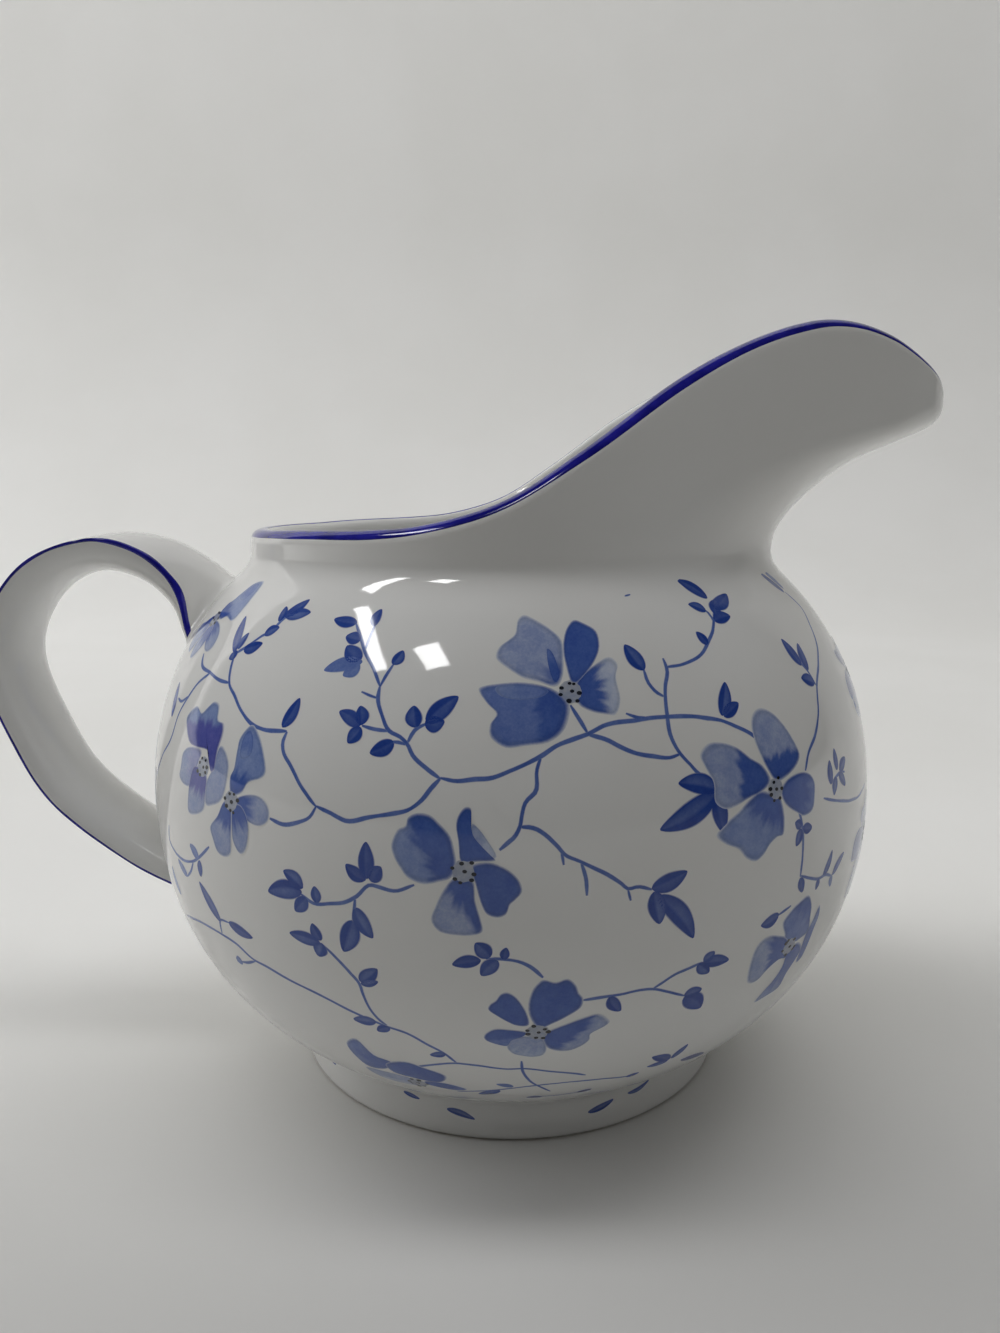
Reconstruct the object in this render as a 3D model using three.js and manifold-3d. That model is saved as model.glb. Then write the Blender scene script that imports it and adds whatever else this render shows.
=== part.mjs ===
// Porcelain cream jug: a round bowl on a low foot ring, drawn up into a short neck and a high
// pouring spout, with a strap handle stuck on behind with slip. Printed transfers lie on the
// glaze, and cobalt lines run along the rim and the handle's two edges.
// Millimetres, +Z up, spout towards +X, handle towards -X. The jug is laid out round the bowl's
// own axis, and at the end it is moved so that the middle of its base is the origin.
import * as THREE from 'three';
import { mergeVertices } from 'three/addons/utils/BufferGeometryUtils.js';
import Module from 'manifold-3d';

const wasm = await Module();
wasm.setup();

// ---- Driving dimensions ----------------------------------------------------------------------

const GLOBE_RADIUS = 44;
const GLOBE_MID_Z = 35.6;
// Above and below its widest line the bowl follows a superellipse of this half height and power.
const GLOBE_UPPER = { height: 37.6, power: 2.12 };
const GLOBE_LOWER = { height: 37.4, power: 2.18 };
const WALL = 2.8;

const FOOT = { height: 4.4, outer: 27.2, crease: 26.4, bearingOuter: 26.9, bearingInner: 24.9, recess: 2.3 };
const FLOOR_Z = 5.2;

const NECK = { radius: 31.8, rootZ: 59.5, topZ: 63.8 };

// The spout's side walls are upright planes that leave the neck at this angle from its axis.
const SPOUT_SIDE_ANGLE = THREE.MathUtils.degToRad(62);
// How far the spout's front reaches at each height: [z, x].
const SPOUT_REACH = [
  [63.8, 31.8], [66.1, 32.1], [68.0, 33.2], [70.1, 35.1], [72.1, 37.5], [74.5, 41.2],
  [76.9, 47.0], [78.4, 50.4], [79.6, 51.7], [81.4, 52.1],
];
// Height of the rim's crest by the angle from the spout's axis: [degrees, z].
const RIM_HEIGHT = [
  [0, 82.8], [7, 83.6], [13, 85.6], [18, 87.8], [24, 88.8], [31, 88.4], [45, 85.4], [60, 81.1],
  [78, 74.6], [90, 70.5], [100, 68.5], [112, 67.3], [140, 66.8], [180, 66.2],
];

// The strap handle's rails, from its upper root to its lower one, each [x, z]. Both ends run on
// into the bowl, where they are cut off. CREST is the middle of the outer face, EDGE is the
// crisp corner on either side of it, and PALM is the middle of the rounded inner face.
const STRAP_CREST = [
  [-31.8, 57.0], [-35.5, 60.4], [-39.0, 63.0], [-43.8, 65.2], [-50.3, 65.8], [-58.4, 63.2],
  [-63.5, 57.0], [-65.0, 49.6], [-62.7, 41.5], [-57.7, 32.2], [-48.6, 24.5], [-41.2, 20.6], [-36.5, 18.2],
];
const STRAP_EDGE = [
  [-36.6, 50.6], [-38.5, 54.0], [-39.9, 59.3], [-44.0, 63.6], [-50.3, 65.4], [-58.1, 62.8],
  [-63.1, 56.8], [-64.6, 49.6], [-62.3, 41.7], [-57.4, 32.5], [-48.3, 24.9], [-41.0, 21.1], [-36.3, 18.8],
];
const STRAP_PALM = [
  [-37.0, 50.0], [-39.7, 52.9], [-42.0, 56.9], [-45.9, 60.0], [-51.1, 61.1], [-56.4, 59.0],
  [-60.1, 54.4], [-61.2, 49.3], [-59.2, 42.8], [-54.9, 34.8], [-46.4, 27.9], [-39.2, 24.6], [-34.8, 22.4],
];
// Half the strap's width at its roots and along its run.
const STRAP_HALF_WIDTH = [[0, 9.6], [0.09, 8.8], [0.2, 7.4], [0.35, 7], [0.8, 7], [0.92, 7.4], [1, 7.8]];
const STRAP_STEPS = 36;
const PALM_ROUNDNESS = 2.3;

// Clearance between pieces that lie on or against each other.
const GAP = 0.3;
const SLIP = { spread: 1.5, rise: 1.3 };
const TRANSFER = { lift: 0.45, thickness: 0.2, rings: 5, corners: 24 };
const LINE_HALF_WIDTH = 0.4;

const RIM_LINE = { fromAngle: 20, toAngle: 100, thickness: 0.2, steps: 3 };

// Each transfer: middle angle round the bowl from the spout (degrees), middle height, and half
// its spread in degrees and in height.
const TRANSFERS = {
  transfer_front_left: [-142, 34, 16, 21],
  transfer_front_centre: [-96, 34, 26, 22],
  transfer_front_right: [-44, 33, 22, 21],
  transfer_back_left: [38, 34, 16, 21],
  transfer_back_centre: [84, 34, 26, 22],
  transfer_back_right: [136, 33, 22, 21],
};

// ---- Materials -------------------------------------------------------------------------------

const porcelain = new THREE.MeshStandardMaterial({ color: 0xdedcd6, roughness: 0.12, metalness: 0 });
const cobalt = new THREE.MeshStandardMaterial({ color: 0x14128a, roughness: 0.15, metalness: 0 });
const printed = new THREE.MeshStandardMaterial({ color: 0x7f8fc4, roughness: 0.14, metalness: 0 });

// ---- Curves ----------------------------------------------------------------------------------

// A cubic from start to end as t goes from 0 to 1, with the rise it sets out and arrives at.
function cubic(t, start, end, riseOut, riseIn) {
  const gain = end - start;
  return start + t * (riseOut + t * (3 * gain - 2 * riseOut - riseIn + t * (riseOut + riseIn - 2 * gain)));
}

// Smooth curve through rows of [x, y], level at both ends.
function throughPoints(rows, x) {
  if (x <= rows[0][0]) return rows[0][1];
  if (x >= rows.at(-1)[0]) return rows.at(-1)[1];
  const i = rows.findIndex((row) => row[0] > x) - 1;
  const slopeAt = (k) => {
    if (k === 0 || k === rows.length - 1) return 0;
    return (rows[k + 1][1] - rows[k - 1][1]) / (rows[k + 1][0] - rows[k - 1][0]);
  };
  const [x0, y0] = rows[i];
  const [x1, y1] = rows[i + 1];
  const span = x1 - x0;
  return cubic((x - x0) / span, y0, y1, slopeAt(i) * span, slopeAt(i + 1) * span);
}

function globeRadius(z) {
  const half = z > GLOBE_MID_Z ? GLOBE_UPPER : GLOBE_LOWER;
  const t = Math.abs(z - GLOBE_MID_Z) / half.height;
  return GLOBE_RADIUS * Math.pow(Math.max(0, 1 - Math.pow(t, half.power)), 1 / half.power);
}

const SHOULDER_SLOPE = (globeRadius(NECK.rootZ + 0.05) - globeRadius(NECK.rootZ - 0.05)) / 0.1;

// Radius of the bowl and neck, left round: the globe, a small hollow fillet, then the upright neck.
function roundRadius(z) {
  if (z <= NECK.rootZ) return globeRadius(z);
  if (z >= NECK.topZ) return NECK.radius;
  const span = NECK.topZ - NECK.rootZ;
  const t = (z - NECK.rootZ) / span;
  return cubic(t, globeRadius(NECK.rootZ), NECK.radius, SHOULDER_SLOPE * span, 0);
}

// Radius of the outside at an angle and height. A level cut through the spout is the neck's
// circle and a nose circle further out, joined by the straight side walls that touch both.
function outsideRadius(angle, z) {
  const round = roundRadius(z);
  if (z <= NECK.topZ) return round;
  const side = Math.cos(SPOUT_SIDE_ANGLE);
  const noseX = (throughPoints(SPOUT_REACH, z) - round) / (1 - side);
  const noseRadius = round - noseX * side;
  const turn = Math.abs(angle);
  if (turn >= SPOUT_SIDE_ANGLE) return round;
  const noseEdge = Math.atan2(noseRadius * Math.sin(SPOUT_SIDE_ANGLE), noseX + noseRadius * side);
  if (turn >= noseEdge) return round / Math.cos(SPOUT_SIDE_ANGLE - turn);
  const across = noseX * Math.sin(turn);
  return noseX * Math.cos(turn) + Math.sqrt(noseRadius * noseRadius - across * across);
}

const rimHeight = (angle) => throughPoints(RIM_HEIGHT, THREE.MathUtils.radToDeg(Math.abs(angle)));

function outsidePoint(angle, z) {
  const r = outsideRadius(angle, z);
  return new THREE.Vector3(r * Math.cos(angle), r * Math.sin(angle), z);
}

// The outside's slope up its column, and its outward normal.
function outsideFrame(angle, z) {
  const step = 0.02;
  const turn = step / GLOBE_RADIUS;
  const up = outsidePoint(angle, z + step).sub(outsidePoint(angle, z - step)).normalize();
  const round = outsidePoint(angle + turn, z).sub(outsidePoint(angle - turn, z)).normalize();
  return { up, normal: round.cross(up).normalize() };
}

// ---- Meshes ----------------------------------------------------------------------------------

// A closed surface through rings of equal length. Each end is closed onto a single point.
function skinRings(rings, firstPole, lastPole) {
  const around = rings[0].length;
  const points = [firstPole, ...rings.flat(), lastPole];
  const last = points.length - 1;
  const at = (ring, k) => 1 + ring * around + (k % around);
  const faces = [];
  for (let k = 0; k < around; k++) {
    faces.push(0, at(0, k + 1), at(0, k));
    for (let ring = 0; ring + 1 < rings.length; ring++) {
      faces.push(at(ring, k), at(ring, k + 1), at(ring + 1, k + 1));
      faces.push(at(ring, k), at(ring + 1, k + 1), at(ring + 1, k));
    }
    faces.push(last, at(rings.length - 1, k), at(rings.length - 1, k + 1));
  }
  return indexed(points, faces);
}

// A closed ring through sections that follow each other round and meet again.
function skinLoop(sections) {
  const count = sections.length;
  const size = sections[0].length;
  const at = (section, k) => (section % count) * size + (k % size);
  const faces = [];
  for (let section = 0; section < count; section++) {
    for (let k = 0; k < size; k++) {
      faces.push(at(section, k), at(section + 1, k), at(section + 1, k + 1));
      faces.push(at(section, k), at(section + 1, k + 1), at(section, k + 1));
    }
  }
  return indexed(sections.flat(), faces);
}

function indexed(points, faces) {
  const geometry = new THREE.BufferGeometry().setFromPoints(points);
  geometry.setIndex(faces);
  return geometry;
}

function middle(points) {
  return points.reduce((sum, p) => sum.add(p), new THREE.Vector3()).divideScalar(points.length);
}

const skinTube = (rings) => skinRings(rings, middle(rings[0]), middle(rings.at(-1)));

function toSolid(geometry) {
  const bare = geometry.clone();
  bare.deleteAttribute('normal');
  bare.deleteAttribute('uv');
  const merged = mergeVertices(bare, 1e-4);
  return new wasm.Manifold(new wasm.Mesh({
    numProp: 3,
    vertProperties: new Float32Array(merged.attributes.position.array),
    triVerts: new Uint32Array(merged.index.array),
  }));
}

function toGeometry(solid) {
  const mesh = solid.getMesh();
  const geometry = new THREE.BufferGeometry();
  geometry.setAttribute('position', new THREE.BufferAttribute(mesh.vertProperties, mesh.numProp));
  geometry.setIndex(new THREE.BufferAttribute(mesh.triVerts, 1));
  return geometry;
}

const jug = new THREE.Group();

function addPart(name, geometry, material) {
  geometry.computeVertexNormals();
  const mesh = new THREE.Mesh(geometry, material);
  mesh.name = name;
  jug.add(mesh);
}

// ---- Bowl: globe, foot ring, neck and spout in one casting --------------------------------------

// Columns stand closer together round the spout's nose.
const HALF_COLUMNS = [
  0, 4, 8, 12, 16, 20, 25, 31, 38, 46, 54, 62, 71, 80, 90, 101, 113, 126, 139, 152, 166, 180,
];
const COLUMNS = [...HALF_COLUMNS.slice(1, -1).reverse().map((a) => -a), ...HALF_COLUMNS]
  .map((a) => THREE.MathUtils.degToRad(a));
const GLOBE_ROWS = [8, 13, 19, 26, 34, 42, 49, 55, 59.5];
const SPOUT_ROW_COUNT = 13;
const LIP_STEPS = 4;

// The rim is rounded: half circle over the wall's top, its middle half a wall in from outside.
function lipFrame(angle) {
  const radius = WALL / 2;
  const crest = rimHeight(angle);
  const nearTop = outsideFrame(angle, crest - WALL);
  const z = crest - radius + radius * nearTop.normal.z;
  const { up, normal } = outsideFrame(angle, z);
  return { z, up, normal, centre: outsidePoint(angle, z).addScaledVector(normal, -radius) };
}

function lipPoint(lip, degrees, radius) {
  const turn = THREE.MathUtils.degToRad(degrees);
  return lip.centre.clone()
    .addScaledVector(lip.normal, radius * Math.cos(turn))
    .addScaledVector(lip.up, radius * Math.sin(turn));
}

const ringAt = (r, z) => COLUMNS.map((a) => new THREE.Vector3(r * Math.cos(a), r * Math.sin(a), z));

function wallRing(inset, heightAt) {
  return COLUMNS.map((a) => {
    const z = heightAt(a);
    return outsidePoint(a, z).addScaledVector(outsideFrame(a, z).normal, -inset);
  });
}

function bowlGeometry() {
  const lips = COLUMNS.map(lipFrame);
  const spoutRow = (k) => {
    const rise = 1 - Math.pow(1 - k / SPOUT_ROW_COUNT, 1.5);
    return (a) => NECK.rootZ + (lips[COLUMNS.indexOf(a)].z - NECK.rootZ) * rise;
  };
  const wallHeights = [
    ...GLOBE_ROWS.map((z) => () => z),
    ...Array.from({ length: SPOUT_ROW_COUNT }, (_, k) => spoutRow(k + 1)),
  ];
  const lipRings = [];
  for (let k = 1; k < LIP_STEPS; k++) {
    lipRings.push(lips.map((lip) => lipPoint(lip, (180 * k) / LIP_STEPS, WALL / 2)));
  }
  const rings = [
    ringAt(FOOT.bearingInner - 1.2, FOOT.recess),
    ringAt(FOOT.bearingInner - 0.5, 0.7),
    ringAt(FOOT.bearingInner, 0),
    ringAt(FOOT.bearingOuter, 0),
    ringAt(FOOT.outer, 0.5),
    ringAt(FOOT.crease, FOOT.height),
    ...wallHeights.map((heightAt) => wallRing(0, heightAt)),
    ...lipRings,
    ...wallHeights.toReversed().map((heightAt) => wallRing(WALL, heightAt)),
    ringAt(23.5, FLOOR_Z + 1.0),
    ringAt(15, FLOOR_Z + 0.1),
  ];
  const underside = new THREE.Vector3(0, 0, FOOT.recess + 0.4);
  return skinRings(rings, underside, new THREE.Vector3(0, 0, FLOOR_Z));
}

addPart('bowl', bowlGeometry(), porcelain);

// ---- Handle and its slip joints ------------------------------------------------------------------

const railCurve = (rows) => new THREE.SplineCurve(rows.map(([x, z]) => new THREE.Vector2(x, z)));
const crestRail = railCurve(STRAP_CREST);
const edgeRail = railCurve(STRAP_EDGE);
const palmRail = railCurve(STRAP_PALM);

// One section of the strap: over the crowned outer face, then back round the rounded palm side.
function strapSection(t, grow) {
  const crest = crestRail.getPoint(t);
  const palm = palmRail.getPoint(t);
  const out = crest.clone().sub(palm).normalize();
  crest.addScaledVector(out, grow);
  palm.addScaledVector(out, -grow);
  const edge = edgeRail.getPoint(t);
  const width = throughPoints(STRAP_HALF_WIDTH, t) + grow;
  const section = [];
  const add = (y, towards, share) => {
    const p = edge.clone().lerp(towards, share);
    section.push(new THREE.Vector3(p.x, y, p.y));
  };
  for (let k = 0; k <= 6; k++) {
    const across = k / 3 - 1;
    add(width * across, crest, 1 - across * across);
  }
  for (let k = 1; k <= 7; k++) {
    const turn = (Math.PI * k) / 8;
    const across = Math.sign(Math.cos(turn)) * Math.pow(Math.abs(Math.cos(turn)), 2 / PALM_ROUNDNESS);
    add(width * across, palm, Math.pow(Math.sin(turn), 2 / PALM_ROUNDNESS));
  }
  return section;
}

function strapSolid(grow, from, to) {
  const steps = Math.round(STRAP_STEPS * (to - from));
  const rings = [];
  for (let k = 0; k <= steps; k++) {
    rings.push(strapSection(from + ((to - from) * k) / steps, grow));
  }
  return toSolid(skinTube(rings));
}

// The bowl's outside grown by an allowance, closed onto the axis at both ends.
function grownGlobe(grow) {
  const profile = [new THREE.Vector2(0, 5)];
  for (let z = 8; z <= 66; z += 2) {
    const slope = (roundRadius(z + 0.1) - roundRadius(z - 0.1)) / 0.2;
    const length = Math.hypot(1, slope);
    profile.push(new THREE.Vector2(roundRadius(z) + grow / length, z - (grow * slope) / length));
  }
  profile.push(new THREE.Vector2(0, 66));
  const lathe = new THREE.LatheGeometry(profile, 72);
  lathe.rotateX(Math.PI / 2);
  return toSolid(lathe);
}

const HANDLE_BAY = grownGlobe(GAP);
addPart('handle', toGeometry(strapSolid(0, 0, 1).subtract(HANDLE_BAY)), porcelain);

// A bead of slip round each root of the handle, where it sits on the bowl.
function slipJoint(from, to) {
  const bead = strapSolid(SLIP.spread, from, to).intersect(grownGlobe(GAP + SLIP.rise));
  return toGeometry(bead.subtract(HANDLE_BAY).subtract(strapSolid(GAP, from, to)));
}

addPart('upper_slip_joint', slipJoint(0, 0.3), porcelain);
addPart('lower_slip_joint', slipJoint(0.75, 1), porcelain);

// ---- Cobalt lines ---------------------------------------------------------------------------------

function rimLineGeometry() {
  const { fromAngle, toAngle, thickness, steps } = RIM_LINE;
  const inner = WALL / 2 + GAP;
  const arc = Array.from({ length: steps + 1 }, (_, k) => fromAngle + ((toAngle - fromAngle) * k) / steps);
  return skinLoop(COLUMNS.map((a) => {
    const lip = lipFrame(a);
    return [
      ...arc.map((degrees) => lipPoint(lip, degrees, inner + thickness)),
      ...arc.toReversed().map((degrees) => lipPoint(lip, degrees, inner)),
    ];
  }));
}

addPart('rim_line', rimLineGeometry(), cobalt);

// A thin bead just off the strap's corner, on the side of the given sign, ending short of the slip.
function handleLineGeometry(side) {
  const stand = GAP + LINE_HALF_WIDTH;
  const rings = [];
  for (let k = 0; k <= STRAP_STEPS; k++) {
    const t = 0.04 + (0.92 * k) / STRAP_STEPS;
    const out = crestRail.getPoint(t).sub(palmRail.getPoint(t)).normalize();
    const middleXZ = edgeRail.getPoint(t).addScaledVector(out, stand / 2);
    const y = side * (throughPoints(STRAP_HALF_WIDTH, t) + stand);
    rings.push(Array.from({ length: 6 }, (_, corner) => {
      const turn = (Math.PI * corner) / 3;
      const reach = LINE_HALF_WIDTH * Math.cos(turn);
      const sway = LINE_HALF_WIDTH * Math.sin(turn);
      return new THREE.Vector3(middleXZ.x + out.x * reach, y + sway, middleXZ.y + out.y * reach);
    }));
  }
  return toGeometry(toSolid(skinTube(rings))
    .subtract(grownGlobe(SLIP.rise + 2 * GAP)));
}

addPart('handle_line_front', handleLineGeometry(-1), cobalt);
addPart('handle_line_back', handleLineGeometry(1), cobalt);

// ---- Printed transfers --------------------------------------------------------------------------

// A sheet with a rounded-off outline that follows the globe a small way off its surface.
function transferGeometry([middleAngle, middleZ, halfAngle, halfHeight]) {
  const place = (u, v, lift) => {
    const a = THREE.MathUtils.degToRad(middleAngle + halfAngle * u);
    const z = middleZ + halfHeight * v;
    return outsidePoint(a, z).addScaledVector(outsideFrame(a, z).normal, lift);
  };
  const loopAt = (share, lift) => Array.from({ length: TRANSFER.corners }, (_, k) => {
    const turn = (2 * Math.PI * k) / TRANSFER.corners;
    const bulge = (c) => Math.sign(c) * Math.sqrt(Math.abs(c));
    return place(share * bulge(Math.cos(turn)), share * bulge(Math.sin(turn)), lift);
  });
  const shares = Array.from({ length: TRANSFER.rings }, (_, k) => (k + 1) / TRANSFER.rings);
  const near = TRANSFER.lift;
  const far = TRANSFER.lift + TRANSFER.thickness;
  const rings = [
    ...shares.map((share) => loopAt(share, near)),
    ...shares.toReversed().map((share) => loopAt(share, far)),
  ];
  return skinRings(rings, place(0, 0, near), place(0, 0, far));
}

for (const [name, layout] of Object.entries(TRANSFERS)) {
  addPart(name, transferGeometry(layout), printed);
}

// ---- Origin in the middle of the base ---------------------------------------------------------------

const box = new THREE.Box3().setFromObject(jug, true);
const centre = box.getCenter(new THREE.Vector3());
jug.position.set(-centre.x, -centre.y, -box.min.z);

export default jug;
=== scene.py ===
"""Porcelain cream jug with a blue printed sprig pattern, on a pale sweep under soft studio light.

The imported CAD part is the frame. Its pieces are replaced here by smooth ones made from the same
driving dimensions: a glazed bowl, a handle that runs into the bowl through fillets of slip,
hand-banded cobalt lines, and a print of stems, leaves and blossoms that lies on the glaze.
Lengths are millimetres round the bowl's own axis until to_frame() turns them into frame metres.
Angles round the bowl are degrees from the spout, so the side towards the camera is at -90.
"""
import math

import bmesh
import bpy
import numpy as np
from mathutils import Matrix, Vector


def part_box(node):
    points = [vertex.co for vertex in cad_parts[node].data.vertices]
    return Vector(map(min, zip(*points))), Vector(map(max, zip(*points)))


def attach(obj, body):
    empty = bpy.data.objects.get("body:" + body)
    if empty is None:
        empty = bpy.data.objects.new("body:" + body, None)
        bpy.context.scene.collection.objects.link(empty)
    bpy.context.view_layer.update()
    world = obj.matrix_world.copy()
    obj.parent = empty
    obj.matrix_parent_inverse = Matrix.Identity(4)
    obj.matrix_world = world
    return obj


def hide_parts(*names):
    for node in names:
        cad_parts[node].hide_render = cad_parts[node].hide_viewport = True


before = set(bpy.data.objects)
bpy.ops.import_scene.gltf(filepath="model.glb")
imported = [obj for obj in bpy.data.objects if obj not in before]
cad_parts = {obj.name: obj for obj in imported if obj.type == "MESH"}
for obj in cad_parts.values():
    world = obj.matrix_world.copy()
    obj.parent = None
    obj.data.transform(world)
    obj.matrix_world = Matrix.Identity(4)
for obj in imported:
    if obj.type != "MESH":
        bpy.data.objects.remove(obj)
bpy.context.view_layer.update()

MM = 0.001
BOWL_LOW, BOWL_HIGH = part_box("bowl")
# The bowl is round, so its axis lies half its width in from its low end.
AXIS_X = BOWL_LOW.x + (BOWL_HIGH.y - BOWL_LOW.y) / 2

# ---- Driving dimensions, as in the CAD part -----------------------------------------------------

GLOBE_RADIUS = 44.0
GLOBE_MID_Z = 35.6
GLOBE_UPPER = (37.6, 2.12)
GLOBE_LOWER = (37.4, 2.18)
WALL = 2.8
LIP_RADIUS = WALL / 2
NECK_RADIUS, NECK_ROOT_Z, NECK_TOP_Z = 31.8, 59.5, 63.8
SPOUT_SIDE_ANGLE = math.radians(62)
SPOUT_REACH = [
    (63.8, 31.8), (66.1, 32.1), (68.0, 33.2), (70.1, 35.1), (72.1, 37.5),
    (74.5, 41.2), (76.9, 47.0), (78.4, 50.4), (79.6, 51.7), (81.4, 52.1),
]
RIM_HEIGHT = [
    (0, 82.8), (7, 83.6), (13, 85.6), (18, 87.8), (24, 88.8), (31, 88.4), (45, 85.4),
    (60, 81.1), (78, 74.6), (90, 70.5), (100, 68.5), (112, 67.3), (140, 66.8), (180, 66.2),
]

# The strap handle's rails from the upper root to the lower one: the middle of its outer face,
# its crisp corners, and the middle of its rounded inner face.
STRAP_CREST = [
    (-31.8, 57.0), (-35.5, 60.4), (-39.0, 63.0), (-43.8, 65.2), (-50.3, 65.8), (-58.4, 63.2),
    (-63.5, 57.0), (-65.0, 49.6), (-62.7, 41.5), (-57.7, 32.2), (-48.6, 24.5), (-41.2, 20.6),
    (-36.5, 18.2),
]
STRAP_EDGE = [
    (-36.6, 50.6), (-38.5, 54.0), (-39.9, 59.3), (-44.0, 63.6), (-50.3, 65.4), (-58.1, 62.8),
    (-63.1, 56.8), (-64.6, 49.6), (-62.3, 41.7), (-57.4, 32.5), (-48.3, 24.9), (-41.0, 21.1),
    (-36.3, 18.8),
]
STRAP_PALM = [
    (-37.0, 50.0), (-39.7, 52.9), (-42.0, 56.9), (-45.9, 60.0), (-51.1, 61.1), (-56.4, 59.0),
    (-60.1, 54.4), (-61.2, 49.3), (-59.2, 42.8), (-54.9, 34.8), (-46.4, 27.9), (-39.2, 24.6),
    (-34.8, 22.4),
]
STRAP_HALF_WIDTH = [(0, 9.6), (0.09, 8.8), (0.2, 7.4), (0.35, 7), (0.8, 7), (0.92, 7.4), (1, 7.8)]
PALM_ROUNDNESS = 2.3

# ---- Curves and the bowl's outside --------------------------------------------------------------


def cubic(t, start, end, rise_out, rise_in):
    """From start to end as t goes from 0 to 1, with the rise it sets out and arrives at."""
    gain = end - start
    curve = 3 * gain - 2 * rise_out - rise_in + t * (rise_out + rise_in - 2 * gain)
    return start + t * (rise_out + t * curve)


def through_points(rows, x):
    """Smooth curve through rows of (x, y), level at both ends."""
    xs, ys = np.array(rows, float).T
    slopes = np.zeros_like(ys)
    slopes[1:-1] = (ys[2:] - ys[:-2]) / (xs[2:] - xs[:-2])
    x = np.clip(x, xs[0], xs[-1])
    i = np.clip(np.searchsorted(xs, x, side="right") - 1, 0, len(xs) - 2)
    span = xs[i + 1] - xs[i]
    return cubic((x - xs[i]) / span, ys[i], ys[i + 1], slopes[i] * span, slopes[i + 1] * span)


def globe_radius(z):
    height = np.where(z > GLOBE_MID_Z, GLOBE_UPPER[0], GLOBE_LOWER[0])
    power = np.where(z > GLOBE_MID_Z, GLOBE_UPPER[1], GLOBE_LOWER[1])
    t = np.clip(np.abs(z - GLOBE_MID_Z) / height, 0, 1)
    return GLOBE_RADIUS * (1 - t ** power) ** (1 / power)


SHOULDER_SLOPE = (globe_radius(NECK_ROOT_Z + 0.05) - globe_radius(NECK_ROOT_Z - 0.05)) / 0.1


def round_radius(z):
    """Radius of the bowl and neck, left round: the globe, a hollow fillet, the upright neck."""
    span = NECK_TOP_Z - NECK_ROOT_Z
    t = np.clip((z - NECK_ROOT_Z) / span, 0, 1)
    fillet = cubic(t, globe_radius(NECK_ROOT_Z), NECK_RADIUS, SHOULDER_SLOPE * span, 0)
    return np.where(z <= NECK_ROOT_Z, globe_radius(z), fillet)


def outside_radius(angle, z):
    """A level cut through the spout is the neck's circle and a nose circle, joined by straight walls."""
    base = round_radius(z)
    side = math.cos(SPOUT_SIDE_ANGLE)
    nose_x = np.where(z > NECK_TOP_Z, (through_points(SPOUT_REACH, z) - base) / (1 - side), 0)
    nose_radius = base - nose_x * side
    turn = np.abs(angle)
    nose_edge = np.arctan2(nose_radius * math.sin(SPOUT_SIDE_ANGLE), nose_x + nose_radius * side)
    on_wall = base / np.cos(np.clip(SPOUT_SIDE_ANGLE - turn, -1.5, 1.5))
    across = nose_x * np.sin(turn)
    on_nose = nose_x * np.cos(turn) + np.sqrt(np.maximum(nose_radius ** 2 - across ** 2, 0))
    return np.where(turn >= SPOUT_SIDE_ANGLE, base, np.where(turn >= nose_edge, on_wall, on_nose))


def rim_height(angle):
    return through_points(RIM_HEIGHT, np.degrees(np.abs(angle)))


def polar(r, angle, z):
    r, angle, z = np.broadcast_arrays(r, angle, z)
    return np.stack([r * np.cos(angle), r * np.sin(angle), z], axis=-1)


def outside_point(angle, z):
    return polar(outside_radius(angle, z), angle, z)


def unit(v):
    return v / np.maximum(np.linalg.norm(v, axis=-1, keepdims=True), 1e-12)


def outside_frame(angle, z):
    """The outside's slope up its column and its outward normal."""
    step = 0.02
    turn = step / GLOBE_RADIUS
    up = unit(outside_point(angle, z + step) - outside_point(angle, z - step))
    along = unit(outside_point(angle + turn, z) - outside_point(angle - turn, z))
    return up, unit(np.cross(along, up))


def lip_frame(angle):
    """Centre of the rounded lip's half circle, with its outward normal and its way up."""
    crest = rim_height(angle)
    near_top = outside_frame(angle, crest - WALL)[1]
    z = crest - LIP_RADIUS + LIP_RADIUS * near_top[..., 2]
    up, normal = outside_frame(angle, z)
    return z, outside_point(angle, z) - LIP_RADIUS * normal, normal, up


# ---- Meshes -------------------------------------------------------------------------------------


def to_frame(points):
    """Millimetres round the bowl's axis to metres in the frame."""
    return np.asarray(points, float).reshape(-1, 3) * MM + (AXIS_X, 0, 0)


def skin_rings(rings, first_pole, last_pole):
    """Points and faces of a closed surface through equal rings, each end closed onto a point."""
    count, around = rings.shape[:2]
    points = np.concatenate([[first_pole], rings.reshape(-1, 3), [last_pole]])
    at = 1 + np.arange(count * around).reshape(count, around)
    after = np.roll(at, -1, axis=1)
    quads = np.stack([at[:-1], after[:-1], after[1:], at[1:]], axis=-1).reshape(-1, 4).tolist()
    last = len(points) - 1
    start_fan = [[0, b, a] for a, b in zip(at[0].tolist(), after[0].tolist())]
    end_fan = [[last, a, b] for a, b in zip(at[-1].tolist(), after[-1].tolist())]
    return points, start_fan + quads + end_fan


def make_piece(name, points, faces, replaced, materials):
    """A smooth mesh object that rides on the frame and stands for the named CAD nodes."""
    mesh = bpy.data.meshes.new(name)
    mesh.from_pydata(to_frame(points).tolist(), [], faces)
    work = bmesh.new()
    work.from_mesh(mesh)
    bmesh.ops.recalc_face_normals(work, faces=work.faces)
    work.to_mesh(mesh)
    work.free()
    mesh.shade_smooth()
    for material in materials:
        mesh.materials.append(material)
    piece = bpy.data.objects.new(name, mesh)
    bpy.context.scene.collection.objects.link(piece)
    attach(piece, "root")
    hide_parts(*replaced)
    return piece


# ---- Materials ----------------------------------------------------------------------------------

IOR = 1.52


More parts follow.
